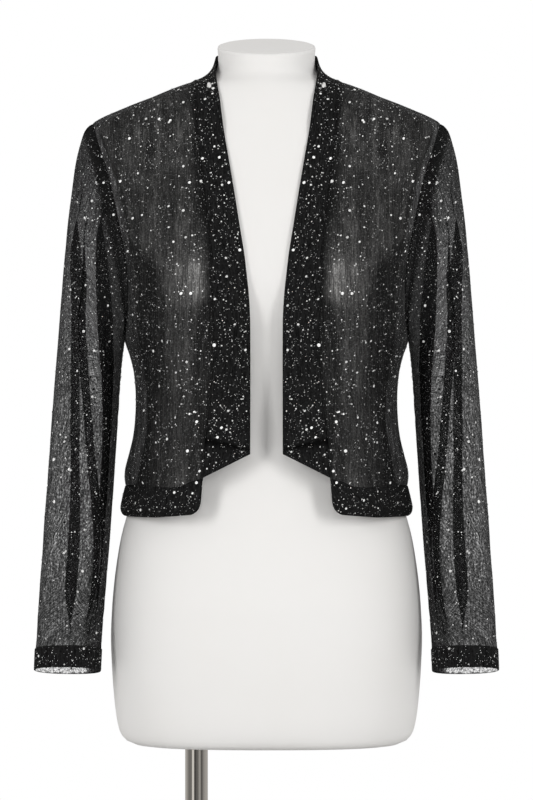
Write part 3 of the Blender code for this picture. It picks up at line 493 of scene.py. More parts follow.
# The cloth's own coordinates in mm: along each row from where it crosses x = anchor, so that the
# grain stays upright, and up the cloth. A tube gets a closing column.
def lengths(P, around, anchor=None):
    Q = np.concatenate([P, P[:, :1]], axis=1) if around else P
    U = np.zeros(Q.shape[:2])
    U[:, 1:] = np.cumsum(np.linalg.norm(np.diff(Q, axis=1), axis=2), axis=1)
    if anchor is not None:
        for along, x in zip(U, Q[..., 0]):
            order = np.argsort(x)
            along -= np.interp(anchor, x[order], along[order])
    rise = np.linalg.norm(np.diff(Q, axis=0), axis=2).mean(axis=1)
    V = np.concatenate([[0.0], np.cumsum(rise)])[:, None] * np.ones(Q.shape[1])
    return U, V


# Soft unevenness of the hanging cloth along its normal, fading to nothing at its edges.
FADE_ENDS, FADE_SIDES = 12.0, 8.0


def rippled(P, around, high, scales, seed):
    U, V = (A[:, :P.shape[1]] for A in lengths(P, around))
    fade = np.minimum(1.0, np.minimum(V, V.max() - V) / FADE_ENDS)
    if not around:
        side = np.minimum(U, U.max(axis=1, keepdims=True) - U)
        fade = fade * np.minimum(1.0, side / FADE_SIDES)
    lift = high * (0.5 + 0.5 * waves(U, V, scales, seed)) * fade
    return P + outward(P, around) * lift[..., None]


def node(tree, kind, inputs=None, **props):
    n = tree.nodes.new(kind)
    for key, value in props.items():
        setattr(n, key, value)
    for key, value in (inputs or {}).items():
        if isinstance(value, bpy.types.NodeSocket):
            tree.links.new(value, n.inputs[key])
        else:
            n.inputs[key].default_value = value
    return n


def material(name):
    mat = bpy.data.materials.new(name)
    mat.use_nodes = True
    mat.node_tree.nodes.clear()
    return mat, mat.node_tree


def finish_material(tree, shader):
    node(tree, "ShaderNodeOutputMaterial", {"Surface": shader.outputs[0]})


def math_node(tree, operation, a, b=0.0, c=0.0, clamp=False):
    return node(tree, "ShaderNodeMath", {0: a, 1: b, 2: c}, operation=operation, use_clamp=clamp).outputs[0]


def mixed(tree, share, first, second):
    n = node(tree, "ShaderNodeMix", {"Factor": share, "A": first, "B": second}, data_type="RGBA")
    return n.outputs["Result"]


def grey(value, warm=0.0):
    return value * (1 + warm), value, value * (1 - 1.4 * warm), 1.0


def fac(tree, name):
    return node(tree, "ShaderNodeAttribute", attribute_name=name).outputs["Fac"]


def object_place(tree):
    return node(tree, "ShaderNodeTexCoord").outputs["Object"]


def noise(tree, place, scale, detail):
    inputs = {"Vector": place, "Scale": scale, "Detail": detail}
    return node(tree, "ShaderNodeTexNoise", inputs).outputs[0]


def bumped(tree, height, strength, distance):
    inputs = {"Height": height, "Strength": strength, "Distance": distance}
    return node(tree, "ShaderNodeBump", inputs).outputs[0]


# A material's last nodes, with their inputs by name.
def finish_principled(tree, inputs):
    finish_material(tree, node(tree, "ShaderNodeBsdfPrincipled", inputs))


# The cloth's own coordinates, scaled so that a step of 1 is this many mm across and along.
def cloth_place(tree, across, along):
    uv = node(tree, "ShaderNodeUVMap", uv_map="cloth").outputs[0]
    scale = (1000 / across, 1000 / along, 1)
    return node(tree, "ShaderNodeMapping", {"Vector": uv, "Scale": scale}).outputs[0]


def cloth_noise(tree, across, along, rough=0.55):
    inputs = {"Vector": cloth_place(tree, across, along), "Scale": 1.0, "Detail": 2.0, "Roughness": rough}
    return node(tree, "ShaderNodeTexNoise", inputs, noise_dimensions="2D").outputs[0]


# Silver specks too small to model: one in a few cells of a fine cell pattern.
def specks(tree, cell, radius, share):
    place = cloth_place(tree, cell, cell)
    cells = node(tree, "ShaderNodeTexVoronoi", {"Vector": place, "Scale": 1.0},
                 voronoi_dimensions="2D", feature="F1")
    near = math_node(tree, "LESS_THAN", cells.outputs["Distance"], radius / cell)
    parts = node(tree, "ShaderNodeSeparateColor", {"Color": cells.outputs["Color"]})
    lucky = math_node(tree, "LESS_THAN", parts.outputs[0], share)
    tone = math_node(tree, "MULTIPLY_ADD", parts.outputs[1], 0.8, 0.2)
    return math_node(tree, "MULTIPLY", math_node(tree, "MULTIPLY", near, lucky), tone)


# The openings between the threads, 0 on a thread and about 0.3 in a hole.
def holes(tree):
    inputs = {"Vector": cloth_place(tree, *HOLE_SIZE), "Scale": 1.0, "Randomness": 0.55}
    net = node(tree, "ShaderNodeTexVoronoi", inputs, voronoi_dimensions="2D", feature="DISTANCE_TO_EDGE")
    return math_node(tree, "SMOOTH_MIN", net.outputs["Distance"], HOLE_CLEAR, 0.1)


# Crinkled mesh: threads of black yarn, denser and more open by turns, so the form or the light
# behind shows through in a mottled, mostly upright pattern. A grain is its size across and along
# in mm and its strength.
def sheer_material(name, grains):
    mat, tree = material(name)
    noises = [cloth_noise(tree, across, along) for across, along, _ in grains]
    total = 0.0
    for grain, (_, _, strength) in zip(noises, grains):
        around = math_node(tree, "SUBTRACT", grain, 0.5)
        total = math_node(tree, "MULTIPLY_ADD", around, strength, total)
    net = holes(tree)
    gain = math_node(tree, "MULTIPLY", math_node(tree, "EXPONENT", total),
                     math_node(tree, "MULTIPLY_ADD", net, *HOLE_GAIN))
    light = math_node(tree, "MULTIPLY", fac(tree, "open"), gain)
    threads = math_node(tree, "SUBTRACT", 1.0, light, clamp=True)
    glint = specks(tree, *SHEER_SPECKS)
    tone = mixed(tree, noises[1], grey(SHEER_DARK), grey(SHEER_LIGHT))
    height = math_node(tree, "ADD", math_node(tree, "MULTIPLY", noises[1], 0.7), net)
    finish_principled(tree, {
        "Base Color": mixed(tree, glint, tone, grey(GLINT)), "Roughness": 0.85,
        "Alpha": math_node(tree, "MAXIMUM", threads, glint), "Specular IOR Level": 0.05,
        "Normal": bumped(tree, height, 0.35, 0.0008)})
    return mat


# Two layers of the same mesh: as good as opaque, with fine upright grain and more glitter.
def doubled_material(name):
    mat, tree = material(name)
    crinkle, lines = cloth_noise(tree, *CRINKLE, rough=0.6), cloth_noise(tree, *LINES)
    both = math_node(tree, "MULTIPLY_ADD", crinkle, 0.5, math_node(tree, "MULTIPLY", lines, 0.5))
    clear = math_node(tree, "MULTIPLY_ADD", both, *DOUBLE_CONTRAST)
    tone = mixed(tree, clear, grey(DOUBLE_DARK), grey(DOUBLE_LIGHT))
    whole = mixed(tree, specks(tree, *DOUBLE_SPECKS), tone, grey(GLINT))
    finish_principled(tree, {
        "Base Color": mixed(tree, fac(tree, "shade"), grey(SHADOW), whole), "Roughness": 0.85,
        "Specular IOR Level": 0.04, "Normal": bumped(tree, both, 0.5, 0.0008)})
    return mat


def form_material(name, tone):
    mat, tree = material(name)
    place = object_place(tree)
    cloud, grain = noise(tree, place, 9.0, 3.0), noise(tree, place, 900.0, 2.0)
    finish_principled(tree, {
        "Base Color": mixed(tree, cloud, grey(tone * 0.985, 0.022), grey(tone * 1.015, 0.012)),
        "Roughness": math_node(tree, "MULTIPLY_ADD", grain, 0.12, 0.42),
        "Specular IOR Level": 0.3, "Normal": bumped(tree, grain, 0.08, 0.0002)})
    return mat


def steel_material(name, stretch):
    mat, tree = material(name)
    lined = node(tree, "ShaderNodeMapping", {"Vector": object_place(tree), "Scale": stretch}).outputs[0]
    brushed = noise(tree, lined, 1.0, 2.0)
    finish_principled(tree, {
        "Base Color": mixed(tree, brushed, grey(0.475, 0.05), grey(0.575, 0.045)), "Metallic": 1.0,
        "Roughness": math_node(tree, "MULTIPLY_ADD", brushed, 0.06, 0.05),
        "Normal": bumped(tree, brushed, 0.05, 0.0002)})
    return mat


# Silver foil dots: each has its own brightness, kept in the mesh as "tone".
def foil_material():
    mat, tree = material("silver foil dots")
    grain = noise(tree, object_place(tree), 1500.0, 1.0)
    uneven = math_node(tree, "MULTIPLY_ADD", grain, 0.3, 0.85)
    shade = math_node(tree, "MULTIPLY", fac(tree, "tone"), uneven)
    blue = math_node(tree, "MULTIPLY", shade, 0.985)
    colour = node(tree, "ShaderNodeCombineColor", {"Red": shade, "Green": shade, "Blue": blue})
    finish_principled(tree, {
        "Base Color": colour.outputs[0], "Metallic": 0.25,
        "Roughness": math_node(tree, "MULTIPLY_ADD", grain, 0.2, 0.25)})
    return mat


# How light each surface is
SHEER_DARK, SHEER_LIGHT = 0.003, 0.011
DOUBLE_DARK, DOUBLE_LIGHT, SHADOW = 0.0015, 0.016, 0.0005
GLINT = 0.50
# The neck cap's own tone is painted light: the top face of the form is made lighter than its sides for how
# light falls on it.
FORM_TONE, CAP_PAINTED_LIGHT_TONE = 0.70, 0.77
# The mesh: size of a hole across and along, where it is clear, and how much light that lets by
HOLE_SIZE, HOLE_CLEAR, HOLE_GAIN = (0.75, 0.9), 0.32, (2.4, 0.56)
# Specks: size of a cell, radius of a speck, share of cells that have one
SHEER_SPECKS, DOUBLE_SPECKS = (2.0, 0.27, 0.2), (1.7, 0.30, 0.10)
# Doubled cloth: size of its crinkle and of its upright lines, and their contrast
CRINKLE, LINES, DOUBLE_CONTRAST = (1.6, 2.6), (1.8, 14.0), (2.6, -0.8)
BODY_GRAINS = [(1.7, 18.0, 2.6), (1.4, 2.2, 1.8), (9.0, 90.0, 2.0)]
SLEEVE_GRAINS = [(1.8, 18.0, 3.2), (2.0, 2.6, 3.8), (10.0, 60.0, 0.8)]
CUFF_GRAINS = [(3.0, 3.0, 3.0), (1.6, 1.8, 4.0)]

SHEER_BODY = sheer_material("sheer crinkle mesh", BODY_GRAINS)
SHEER_SLEEVE = sheer_material("sheer sleeve mesh", SLEEVE_GRAINS)
DOUBLE_MESH = doubled_material("doubled crinkle mesh")
CUFF_SINGLE = sheer_material("single cuff mesh", CUFF_GRAINS)
FORM_SKIN = form_material("moulded form skin", FORM_TONE)
FORM_CAP_PAINTED_LIGHT = form_material("neck cap", CAP_PAINTED_LIGHT_TONE)
FOIL = foil_material()


def make_object(name, verts, faces, mat, replaced=()):
    mesh = bpy.data.meshes.new(name)
    mesh.from_pydata([tuple(v) for v in np.asarray(verts, float) * MM], [], faces)
    mesh.materials.append(mat)
    mesh.shade_smooth()
    ob = bpy.data.objects.new(name, mesh)
    bpy.context.scene.collection.objects.link(ob)
    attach(ob, "root")
    if replaced:
        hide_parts(*replaced)
    return ob


# Corners of each cell of a grid, as rows and columns; the last column of a tube is its first again.
def cells(n, m, around):
    return [((i, j), (i, j + 1), (i + 1, j + 1), (i + 1, j))
            for i in range(n - 1) for j in range(m if around else m - 1)]


def grid_faces(n, m, around):
    return [tuple(i * m + j % m for i, j in cell) for cell in cells(n, m, around)]


def write_uv(mesh, values):
    layer = mesh.uv_layers.new(name="cloth")
    layer.data.foreach_set("uv", (np.array(values) * MM).astype(np.float32).ravel())


def write_value(mesh, name, values):
    layer = mesh.attributes.new(name, "FLOAT", "POINT")
    layer.data.foreach_set("value", np.asarray(values, np.float32).ravel())


# Dress form: rings up the body, then a flat cap at each end with a narrow rim inside its edge.
FORM_STEP, FORM_SIDES, CAP_RIM = 5.0, 160, 0.97


def form_levels():
    levels = []
    for low, high in zip(FORM.x[:-1], FORM.x[1:]):
        count = max(1, math.ceil((high - low) / FORM_STEP))
        levels += [low + (high - low) * k / count for k in range(count)]
    return levels + [FORM.x[-1]]


def dress_form():
    turns = [2 * math.pi * k / FORM_SIDES for k in range(FORM_SIDES)]
    rings = [[form_point(z, turn) for turn in turns] for z in form_levels()]
    verts = [p for ring in rings for p in ring]
    faces = grid_faces(len(rings), FORM_SIDES, True)
    walls = len(faces)
    for ring, top in ((rings[0], False), (rings[-1], True)):
        middle = np.mean(ring, axis=0)
        rim, start = (len(rings) - 1) * FORM_SIDES if top else 0, len(verts)
        verts += [middle + (np.array(p) - middle) * CAP_RIM for p in ring] + [middle]
        for k in range(FORM_SIDES):
            l = (k + 1) % FORM_SIDES
            pair = [(rim + k, rim + l, start + l, start + k), (start + k, start + l, start + FORM_SIDES)]
            faces += pair if top else [f[::-1] for f in pair]
    ob = make_object("form_shell", verts, faces, FORM_SKIN, ("dress_form",))
    # The top cap gets the tone with painted light.
    ob.data.materials.append(FORM_CAP_PAINTED_LIGHT)
    for face in ob.data.polygons[walls + 2 * FORM_SIDES:]:
        face.material_index = 1
        face.use_smooth = False
    return BVHTree.FromPolygons([Vector(v) for v in verts], faces)


form_tree = dress_form()


# Points nearer to the form than the clearance move out along the form's own normal.
def off_form(P, need):
    for index in np.ndindex(P.shape[:2]):
        here = Vector(P[index])
        spot, normal, _, far = form_tree.find_nearest(here, 40.0)
        if spot is None:
            continue
        if (here - spot).dot(normal) < 0:
            far = -far
        if far < need:
            P[index] = np.array(spot + normal * need)
    return P


# Where the form shows through the front: height, the distances from the middle between which the
# cloth lies on it, and its openness there. Outside them it hangs free, with painted shade.
SHOWS = Table(("inner", "outer", "open"), [
    (513.0, 84.0, 125.0, 0.21), (568.0, 82.0, 120.0, 0.22), (620.0, 78.9, 115.5, 0.225),
    (675.0, 78.9, 115.5, 0.225), (697.0, 74.6, 115.0, 0.225), (713.0, 59.7, 114.6, 0.225),
    (740.0, 59.7, 114.6, 0.22), (773.0, 63.0, 149.0, 0.20), (816.0, 76.0, 190.0, 0.185),
    (892.0, 82.0, 200.0, 0.185), (930.0, 82.0, 200.0, 0.16)])
# Soft folds drawn from the bust towards the shoulder, not modelled but painted as shade and highlight:
# their ends (distance from the middle, height), width and how much lighter or darker the cloth is along
# them.
FOLD_SHADING = [
    ((106.0, 769.0), (87.0, 889.0), 3.5, -0.24), ((110.0, 760.0), (104.0, 850.0), 4.0, -0.18),
    ((113.0, 766.0), (97.0, 866.0), 2.5, 0.16), ((151.0, 764.0), (167.0, 850.0), 2.2, 0.30),
    ((145.0, 766.0), (133.0, 808.0), 3.0, -0.26), ((139.0, 745.0), (128.0, 800.0), 2.2, 0.22),
    ((122.0, 772.0), (128.0, 860.0), 3.5, -0.14)]
# Where the cloth hangs free its openness is cut to a share of it: painted shade.
BACK_OPEN, FREE_SHADE_OPEN, FREE_EDGE = 0.20, 0.35, 2.5    # behind, share where it hangs free, its soft edge
STRETCH = dict(gain=0.65, x=(62.0, 113.0), z=(705.0, 750.0), edge=4.0)   # drawn over the bust
ALLOWANCE, ALLOWANCE_OPEN = 12.0, 0.5                # width of the seam allowances, their openness
ARMHOLE_OPEN = 0.25                                  # openness of the one along the armhole
# Beside the band the dark strip is a seam allowance with the band edge's painted shadow in it.
BAND_SHADOW_LINE, BAND_SHADOW_LINE_OPEN = 3.0, 0.35                # the same beside the band
SLEEVE_OPEN = Table(("open",), [
    (300.0, 0.24), (384.0, 0.25), (430.0, 0.28), (700.0, 0.28), (780.0, 0.24), (820.0, 0.205),
    (860.0, 0.175), (905.0, 0.15)])
# The sleeve's inner part, gathered and dark, its darkness partly painted shade: height, distance from the
# middle at which it starts.
GATHERED_AND_SHADED = Table(("x",), [
    (330.0, 200.0), (380.0, 196.0), (426.0, 191.5), (491.0, 188.0), (519.0, 181.5), (611.0, 179.5),
    (654.0, 182.5), (709.0, 184.5), (747.0, 183.0), (790.0, 186.0)])
GATHERED_AND_SHADED_OPEN, EDGE_ON = 0.50, 0.45
CUFF_OPEN, CUFF_GATHERED, CUFF_X = 0.92, 0.12, 197.0    # its openness out and in, where it changes
CUFF_LENS = 10.0                                     # height of the strip seen past the front edge
CUFF_FOLD, CUFF_FOLD_OPEN = 1.5, 0.12                # its lower edge, which is folded
# Ridge of a band's turned-up end, outer and inner point (distance from the middle, height), and
# the height and tone of the shadow under it.
RIDGE, RIDGE_SHADOW, RIDGE_DARK = ((66.5, 560.0), (26.0, 548.5)), 9.0, 0.12


def soft_step(v, width):
    return 1 / (1 + np.exp(-v / width))


def between(v, limits, edge):
    return soft_step(v - limits[0], edge) * soft_step(limits[1] - v, edge)


# Factor for the allowances along the seams that lie at y = 0, at the side and on the shoulder.
def seam_allowance(P):
    return 1 - (1 - ALLOWANCE_OPEN) * soft_step(ALLOWANCE - np.abs(P[..., 1]), 0.8)


# Painted shade and painted highlight along the folds.
def fold_shading_factor(P):
    factor = np.ones(P.shape[:2])
    for start, end, width, gain in FOLD_SHADING:
        start, way = np.array(start), np.subtract(end, start)
        here = np.stack([np.abs(P[..., 0]), P[..., 2]], axis=-1) - start
        share = np.clip(here @ way / (way @ way), 0, 1)
        far = np.linalg.norm(here - share[..., None] * way, axis=-1)
        factor *= 1 + gain * np.exp(-(far / width) ** 2) * np.sin(math.pi * (0.15 + 0.7 * share))
    return factor


def front_openness(P):
    x, z = np.abs(P[..., 0]), P[..., 2]
    inner, outer, opened = (np.interp(z, SHOWS.x, SHOWS.y[:, k]) for k in range(3))
    # Painted shade where the cloth hangs free of the form.
    rests = FREE_SHADE_OPEN + (1 - FREE_SHADE_OPEN) * between(x, (inner, outer), FREE_EDGE)
    drawn = between(x, STRETCH["x"], STRETCH["edge"]) * between(z, STRETCH["z"], STRETCH["edge"])
    seam = np.interp(z, BAND_SEAM.x, BAND_SEAM.y[:, 0])
    # Seam allowance beside the band, with the painted shadow of the band's edge.
    line = 1 - (1 - BAND_SHADOW_LINE_OPEN) * soft_step(BAND_SHADOW_LINE - (x - seam), 1.0)
    return opened * rests * (1 + STRETCH["gain"] * drawn) * line * fold_shading_factor(P) * seam_allowance(P)


# The sleeve is darker along the armhole, in its gathered part, where it is partly painted shade, and where
# it turns edge-on.
def sleeve_openness(P):
    V = lengths(P, True)[1][:, :P.shape[1]]
    opened = np.interp(P[..., 2], SLEEVE_OPEN.x, SLEEVE_OPEN.y[:, 0])
    strip = soft_step(ALLOWANCE - V, 0.8)
    inner = np.interp(P[..., 2], GATHERED_AND_SHADED.x, GATHERED_AND_SHADED.y[:, 0])
    gathered_and_shaded = soft_step(inner - np.abs(P[..., 0]), 1.2)
    facing = np.minimum(1.0, EDGE_ON + np.abs(outward(P, True)[..., 1]))
    return opened * (1 - (1 - ARMHOLE_OPEN) * strip) * (1 - (1 - GATHERED_AND_SHADED_OPEN) * gathered_and_shaded) * facing


# The back half of a cuff is gathered and dark, but light shows through a strip of its single layer
# above the folded lower edge, on its outer side.
def cuff_openness(P):
    t = SLEEVE.at(CUFF_ROWS[-1])
    above = P[..., 2] - t["zi"] + (P[..., 1] - t["yc"]) * math.tan(math.radians(t["pitch"]))
    single = CUFF_FOLD_OPEN + (1 - CUFF_FOLD_OPEN) * soft_step(above - CUFF_FOLD, 0.5)
    outside = soft_step(np.abs(P[..., 0]) - CUFF_X, 1.5) * soft_step(CUFF_LENS - above, 1.0)
    return (CUFF_GATHERED + (CUFF_OPEN - CUFF_GATHERED) * outside) * single


# The doubled cloth is darkest under the ridge of a band's turned-up end.
def band_shade(P):
    (outer, high), (inner, low) = RIDGE
    share = np.clip((np.abs(P[..., 0]) - inner) / (outer - inner), 0, 1)
    below = low + (high - low) * share - P[..., 2]
    shadow = soft_step(below, 0.8) * soft_step(RIDGE_SHADOW * share - below, 1.5)
    return 1 - (1 - RIDGE_DARK) * shadow


# One layer of cloth: its coordinates are metres along the cloth.
def sheet_piece(name, P, around, mat, replaced, opened, anchor=None):
    n, m = P.shape[:2]
    ob = make_object(name, P.reshape(-1, 3), grid_faces(n, m, around), mat, (replaced,))
    U, V = lengths(P, around, anchor)
    write_uv(ob.data, [(U[c], V[c]) for cell in cells(n, m, around) for c in cell])
    write_value(ob.data, "open", opened)
    return ob


# Rows drawn in at both ends of a grid, so that a shell over it gets rounded rims: the new rows and
# the share of the full wall at each.
RIM = ((0.0, 0.0), (0.29, 0.7), (1.0, 1.0))      # distance from the edge over half the wall, share


def with_rims(G, half):
    first, final = G[1] - G[0], G[-2] - G[-1]
    first = first / np.maximum(np.linalg.norm(first, axis=-1, keepdims=True), 1e-9)
    final = final / np.maximum(np.linalg.norm(final, axis=-1, keepdims=True), 1e-9)
    rows = [G[0] + first * e * half for e, _ in RIM] + list(G[1:-1])
    rows += [G[-1] + final * e * half for e, _ in RIM[::-1]]
    share = [s for _, s in RIM]
    return np.array(rows), np.array(share + [1.0] * (len(G) - 2) + share[::-1])


# Closed shell of doubled cloth with rounded rims.
def shell_piece(name, P, around, replaced):
    half = DOUBLED / 2
    P, rows = with_rims(P, half)
    cols = np.ones(P.shape[1])
    if not around:
        P, cols = with_rims(P.swapaxes(0, 1), half)
        P = P.swapaxes(0, 1)
    thick = half * np.minimum(rows[:, None], cols[None, :])[..., None]
    N = outward(P, around)
    n, m = P.shape[:2]
    verts = np.concatenate([(P + N * thick).reshape(-1, 3), (P - N * thick).reshape(-1, 3)])
    front = grid_faces(n, m, around)
    faces = front + [tuple(v + n * m for v in f[::-1]) for f in front]
    ob = make_object(name, verts, faces, DOUBLE_MESH, (replaced,))
    U, V = lengths(P, around)
    corners = cells(n, m, around)
    write_uv(ob.data, [(U[c], V[c]) for cell in corners for c in cell]
             + [(U[c] + 1000.0, V[c]) for cell in corners for c in cell[::-1]])
    write_value(ob.data, "shade", band_shade(np.array([v.co for v in ob.data.vertices]) / MM))
    return ob


def single_back(ob):
    mesh = ob.data
    spots = np.array([v.co for v in mesh.vertices]) / MM
    write_value(mesh, "open", cuff_openness(spots))
    middle = spots[:, 1].mean()
    mesh.materials.append(CUFF_SINGLE)
    for face in mesh.polygons:
        if face.center.y / MM > middle:
            face.material_index = 1


# Mesh steps up and across each piece in mm
FRONT_MESH, BACK_MESH, SLEEVE_MESH = (3.0, 2.2), (3.5, 3.0), (3.5, 1.8)
BAND_MESH, CUFF_MESH, HEM_MESH = (3.0, 2.5), (3.0, 2.4), (3.0, 3.5)
# Unevenness of the hanging pieces: height, lengths of its waves across and along, seed
FRONT_WAVES = (0.9, ((26, 210), (41, 330)), 11)
BACK_WAVES = (0.8, ((30, 260), (47, 380)), 12)
SLEEVE_WAVES = (-0.8, ((22, 90), (35, 160)), 13)
# Pieces of cloth that carry dots: name, grid, whether it is a tube, seed, height of the wall's
# face and how much denser its dots are than usual.
carriers = []

# Body
for side, sign in SIDES:
    P = rippled(off_form(fine(front_grid(sign), *FRONT_MESH), CLEAR), False, *FRONT_WAVES)
    ob = sheet_piece("front_cloth_" + side, P, False, SHEER_BODY, "front_panel_" + side,
                     front_openness(P), sign * BODY_GRAIN_X)
    carriers.append(("front_dots_" + side, P, False, 21, 0.0, 1.0))

P = rippled(off_form(fine(back_grid(), *BACK_MESH), CLEAR), False, *BACK_WAVES)
ob = sheet_piece("back_cloth", P, False, SHEER_BODY, "back_panel", BACK_OPEN * seam_allowance(P), 0.0)
carriers.append(("back_dots", P, False, 22, 0.0, 1.0))

# Sleeves
for side, sign in SIDES:
    P = fine([sleeve_ring(v, sign) for v in SLEEVE_ROWS], *SLEEVE_MESH, True)
    P = rippled(off_form(P, CLEAR), True, *SLEEVE_WAVES)
    ob = sheet_piece("sleeve_cloth_" + side, P, True, SHEER_SLEEVE, "sleeve_" + side, sleeve_openness(P))
    carriers.append(("sleeve_dots_" + side, P, True, 23, 0.0, 0.85))

# Doubled pieces
for side, sign in SIDES:
    P = fine(band_grid(sign), *BAND_MESH)
    ob = shell_piece("band_" + side, P, False, "front_band_" + side)
    carriers.append(("band_dots_" + side, P, False, 24, DOUBLED / 2, 1.6))
    P = fine([sleeve_ring(v, sign) for v in CUFF_ROWS], *CUFF_MESH, True)
    ob = shell_piece("cuff_" + side, P, True, "cuff_band_" + side)
    single_back(ob)
    carriers.append(("cuff_dots_" + side, P, True, 25, DOUBLED / 2, 1.2))
P = fine(hem_grid(), *HEM_MESH)
ob = shell_piece("hem_cloth", P, False, "hem_band")
carriers.append(("hem_dots", P, False, 26, DOUBLED / 2, 1.2))

# Camera: the photograph's middle column and row, and the size of its pixel at the part's middle.
CAMERA_AWAY, CAMERA_HIGH, LENS, FILM = 4.889, 0.600, 200.0, 36.0
MIDDLE_COLUMN, MIDDLE_ROW, PIXEL = 266.3, 400.0, 1.1

# Sizes of dots: smallest and largest radius in mm, count a square metre, dimmest and brightest.
DOT_SIZES = [(1.15, 1.70, 750, 0.60, 0.95), (0.65, 0.95, 4600, 0.50, 0.92), (0.34, 0.55, 16000, 0.30, 0.80)]
# The dots that catch the eye on one half, repeated on the other: photograph column, row, radius in mm.
MARKED_DOTS = [
    (85.5, 220.0, 2.3), (83.0, 217.0, 1.5), (181.0, 295.0, 1.9), (190.4, 294.8, 1.7), (94.0, 182.0, 1.6),
    (126.5, 252.0, 1.5), (53.0, 458.0, 1.9), (53.0, 501.7, 1.9), (201.8, 158.0, 1.7), (196.4, 421.0, 1.7),
    (222.6, 427.0, 1.7), (218.4, 436.7, 1.5), (199.7, 472.0, 1.6), (196.0, 483.0, 1.6), (159.5, 117.5, 1.7),
    (170.5, 120.0, 1.6), (129.0, 139.0, 1.7), (119.5, 181.0, 1.7), (188.5, 181.0, 1.7), (215.5, 345.0, 2.0),
    (229.0, 181.0, 1.8), (219.0, 157.0, 1.6), (186.0, 450.0, 1.8), (241.0, 250.0, 1.7)]
MARKED_NEAR, MARKED_TONE = 1.8, 0.97     # how near such a dot lies to its place in mm, its tone
TILT, LIFT_OFF, DOME = 0.16, 0.28, 0.22  # a dot's tilt, height over the cloth in mm, domed share
BIG_DOT, DOMED_DOT = 1.0, 0.6            # radii from which a dot has 10 sides, or a dome
DOT_RNG = np.random.default_rng(7)


# Domed discs lying on the cloth: centres, outward normals, radii and tones.
def dots(name, spots):
    verts, faces, tones = [], [], []
    for centre, normal, radius, tone in spots:
        n = Vector(normal) + Vector(DOT_RNG.normal(0, TILT, 3))
        n.normalize()
        across = n.orthogonal().normalized()
        up = n.cross(across) * DOT_RNG.uniform(0.75, 1.0)
        spin = DOT_RNG.uniform(0, 2 * math.pi)
        sides = 10 if radius > BIG_DOT else 6
        start = len(verts)
        base = Vector(centre) + Vector(normal) * (LIFT_OFF + 0.12 * radius)
        for k in range(sides):
            a = spin + 2 * math.pi * k / sides
            verts.append(base + (across * math.cos(a) + up * math.sin(a)) * radius)
        if radius > DOMED_DOT:
            verts.append(base + n * DOME * radius)
            faces += [(start + k, start + (k + 1) % sides, start + sides) for k in range(sides)]
        else:
            faces.append(tuple(range(start, start + sides)))
        tones += [tone] * (len(verts) - start)
    ob = make_object(name, verts, faces, FOIL)
    write_value(ob.data, "tone", tones)


# Dots scattered over a grid by area, clear of its edges, the same on the left and on the right.
def scatter(P, N, around, seed, denser):
    m = P.shape[1]
    cols = m if around else m - 1
    A, B, C = P[:-1, :cols], np.roll(P, -1, axis=1)[:-1, :cols], P[1:, :cols]
    area = np.linalg.norm(np.cross(B - A, C - A), axis=2).ravel()
    sums = np.cumsum(area) / area.sum()
    rng = np.random.default_rng(seed)
    spots = []
    for low, high, density, dim, bright in DOT_SIZES:
        for _ in range(int(area.sum() * MM * MM * density * denser)):
            i, j = divmod(min(int(np.searchsorted(sums, rng.random())), len(area) - 1), cols)
            a, b = rng.random(2)
            if i in (0, len(P) - 2) or (not around and j in (0, cols - 1)):
                continue
            k = (j + 1) % m
            p = (P[i, j] * (1 - a) + P[i, k] * a) * (1 - b) + (P[i + 1, j] * (1 - a) + P[i + 1, k] * a) * b
            spots.append((p, N[i, j], rng.uniform(low, high), rng.uniform(dim, bright)))
    return spots


# The marked dots of one half, each on the foremost point of cloth at its place in the photograph.
def marked(pieces, sign):
    points = np.concatenate([P.reshape(-1, 3) for P, _ in pieces])
    normals = np.concatenate([N.reshape(-1, 3) for _, N in pieces])
    near = CAMERA_AWAY / MM / (CAMERA_AWAY / MM + points[:, 1]) / PIXEL
    column = MIDDLE_COLUMN - points[:, 0] * near * sign
    row = MIDDLE_ROW - (points[:, 2] - CAMERA_HIGH / MM) * near
    spots = []
    for wanted_column, wanted_row, radius in MARKED_DOTS:
        far = np.hypot(column - wanted_column, row - wanted_row)
        best = int(np.argmin(points[:, 1] + 1000.0 * (far > MARKED_NEAR)))
        spots.append((points[best], normals[best], radius, MARKED_TONE))
    return spots


faced = {}
for name, P, around, seed, lift, denser in carriers:
    N = outward(P, around)
    faced[name] = (P + N * lift, N)
    dots(name, scatter(P + N * lift, N, around, seed, denser))
for side, sign in SIDES:
    pieces = [faced[name] for name in faced if name.endswith(side) or name == "hem_dots"]
    dots("marked_dots_" + side, marked(pieces, sign))

# Stand: the steel is brushed along the pole and across the plate.
for name, stretch in (("pole", (900.0, 900.0, 6.0)), ("pole_socket", (900.0, 900.0, 6.0)),
                      ("base_plate", (60.0, 700.0, 60.0))):
    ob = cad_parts[name]
    ob.data.materials.clear()
    ob.data.materials.append(steel_material("brushed steel of " + name, stretch))

# Floor
scene = bpy.context.scene
FLOOR_SIDE, FLOOR_NEAR, FLOOR_FAR = 3.0, 3.2, 1.6
FLOOR_DARK, FLOOR_LIGHT = 0.70, 0.74
floor_mesh = bpy.data.meshes.new("floor")
floor_mesh.from_pydata([(-FLOOR_SIDE, -FLOOR_NEAR, 0), (FLOOR_SIDE, -FLOOR_NEAR, 0),
                        (FLOOR_SIDE, FLOOR_FAR, 0), (-FLOOR_SIDE, FLOOR_FAR, 0)], [], [(0, 1, 2, 3)])
floor = bpy.data.objects.new("floor", floor_mesh)
scene.collection.objects.link(floor)
mat, tree = material("pale floor")
cloud = node(tree, "ShaderNodeTexNoise", {"Scale": 3.0}).outputs[0]
pale = mixed(tree, cloud, grey(FLOOR_DARK), grey(FLOOR_LIGHT))
finish_material(tree, node(tree, "ShaderNodeBsdfDiffuse", {"Color": pale}))
floor_mesh.materials.append(mat)
floor.visible_glossy = False

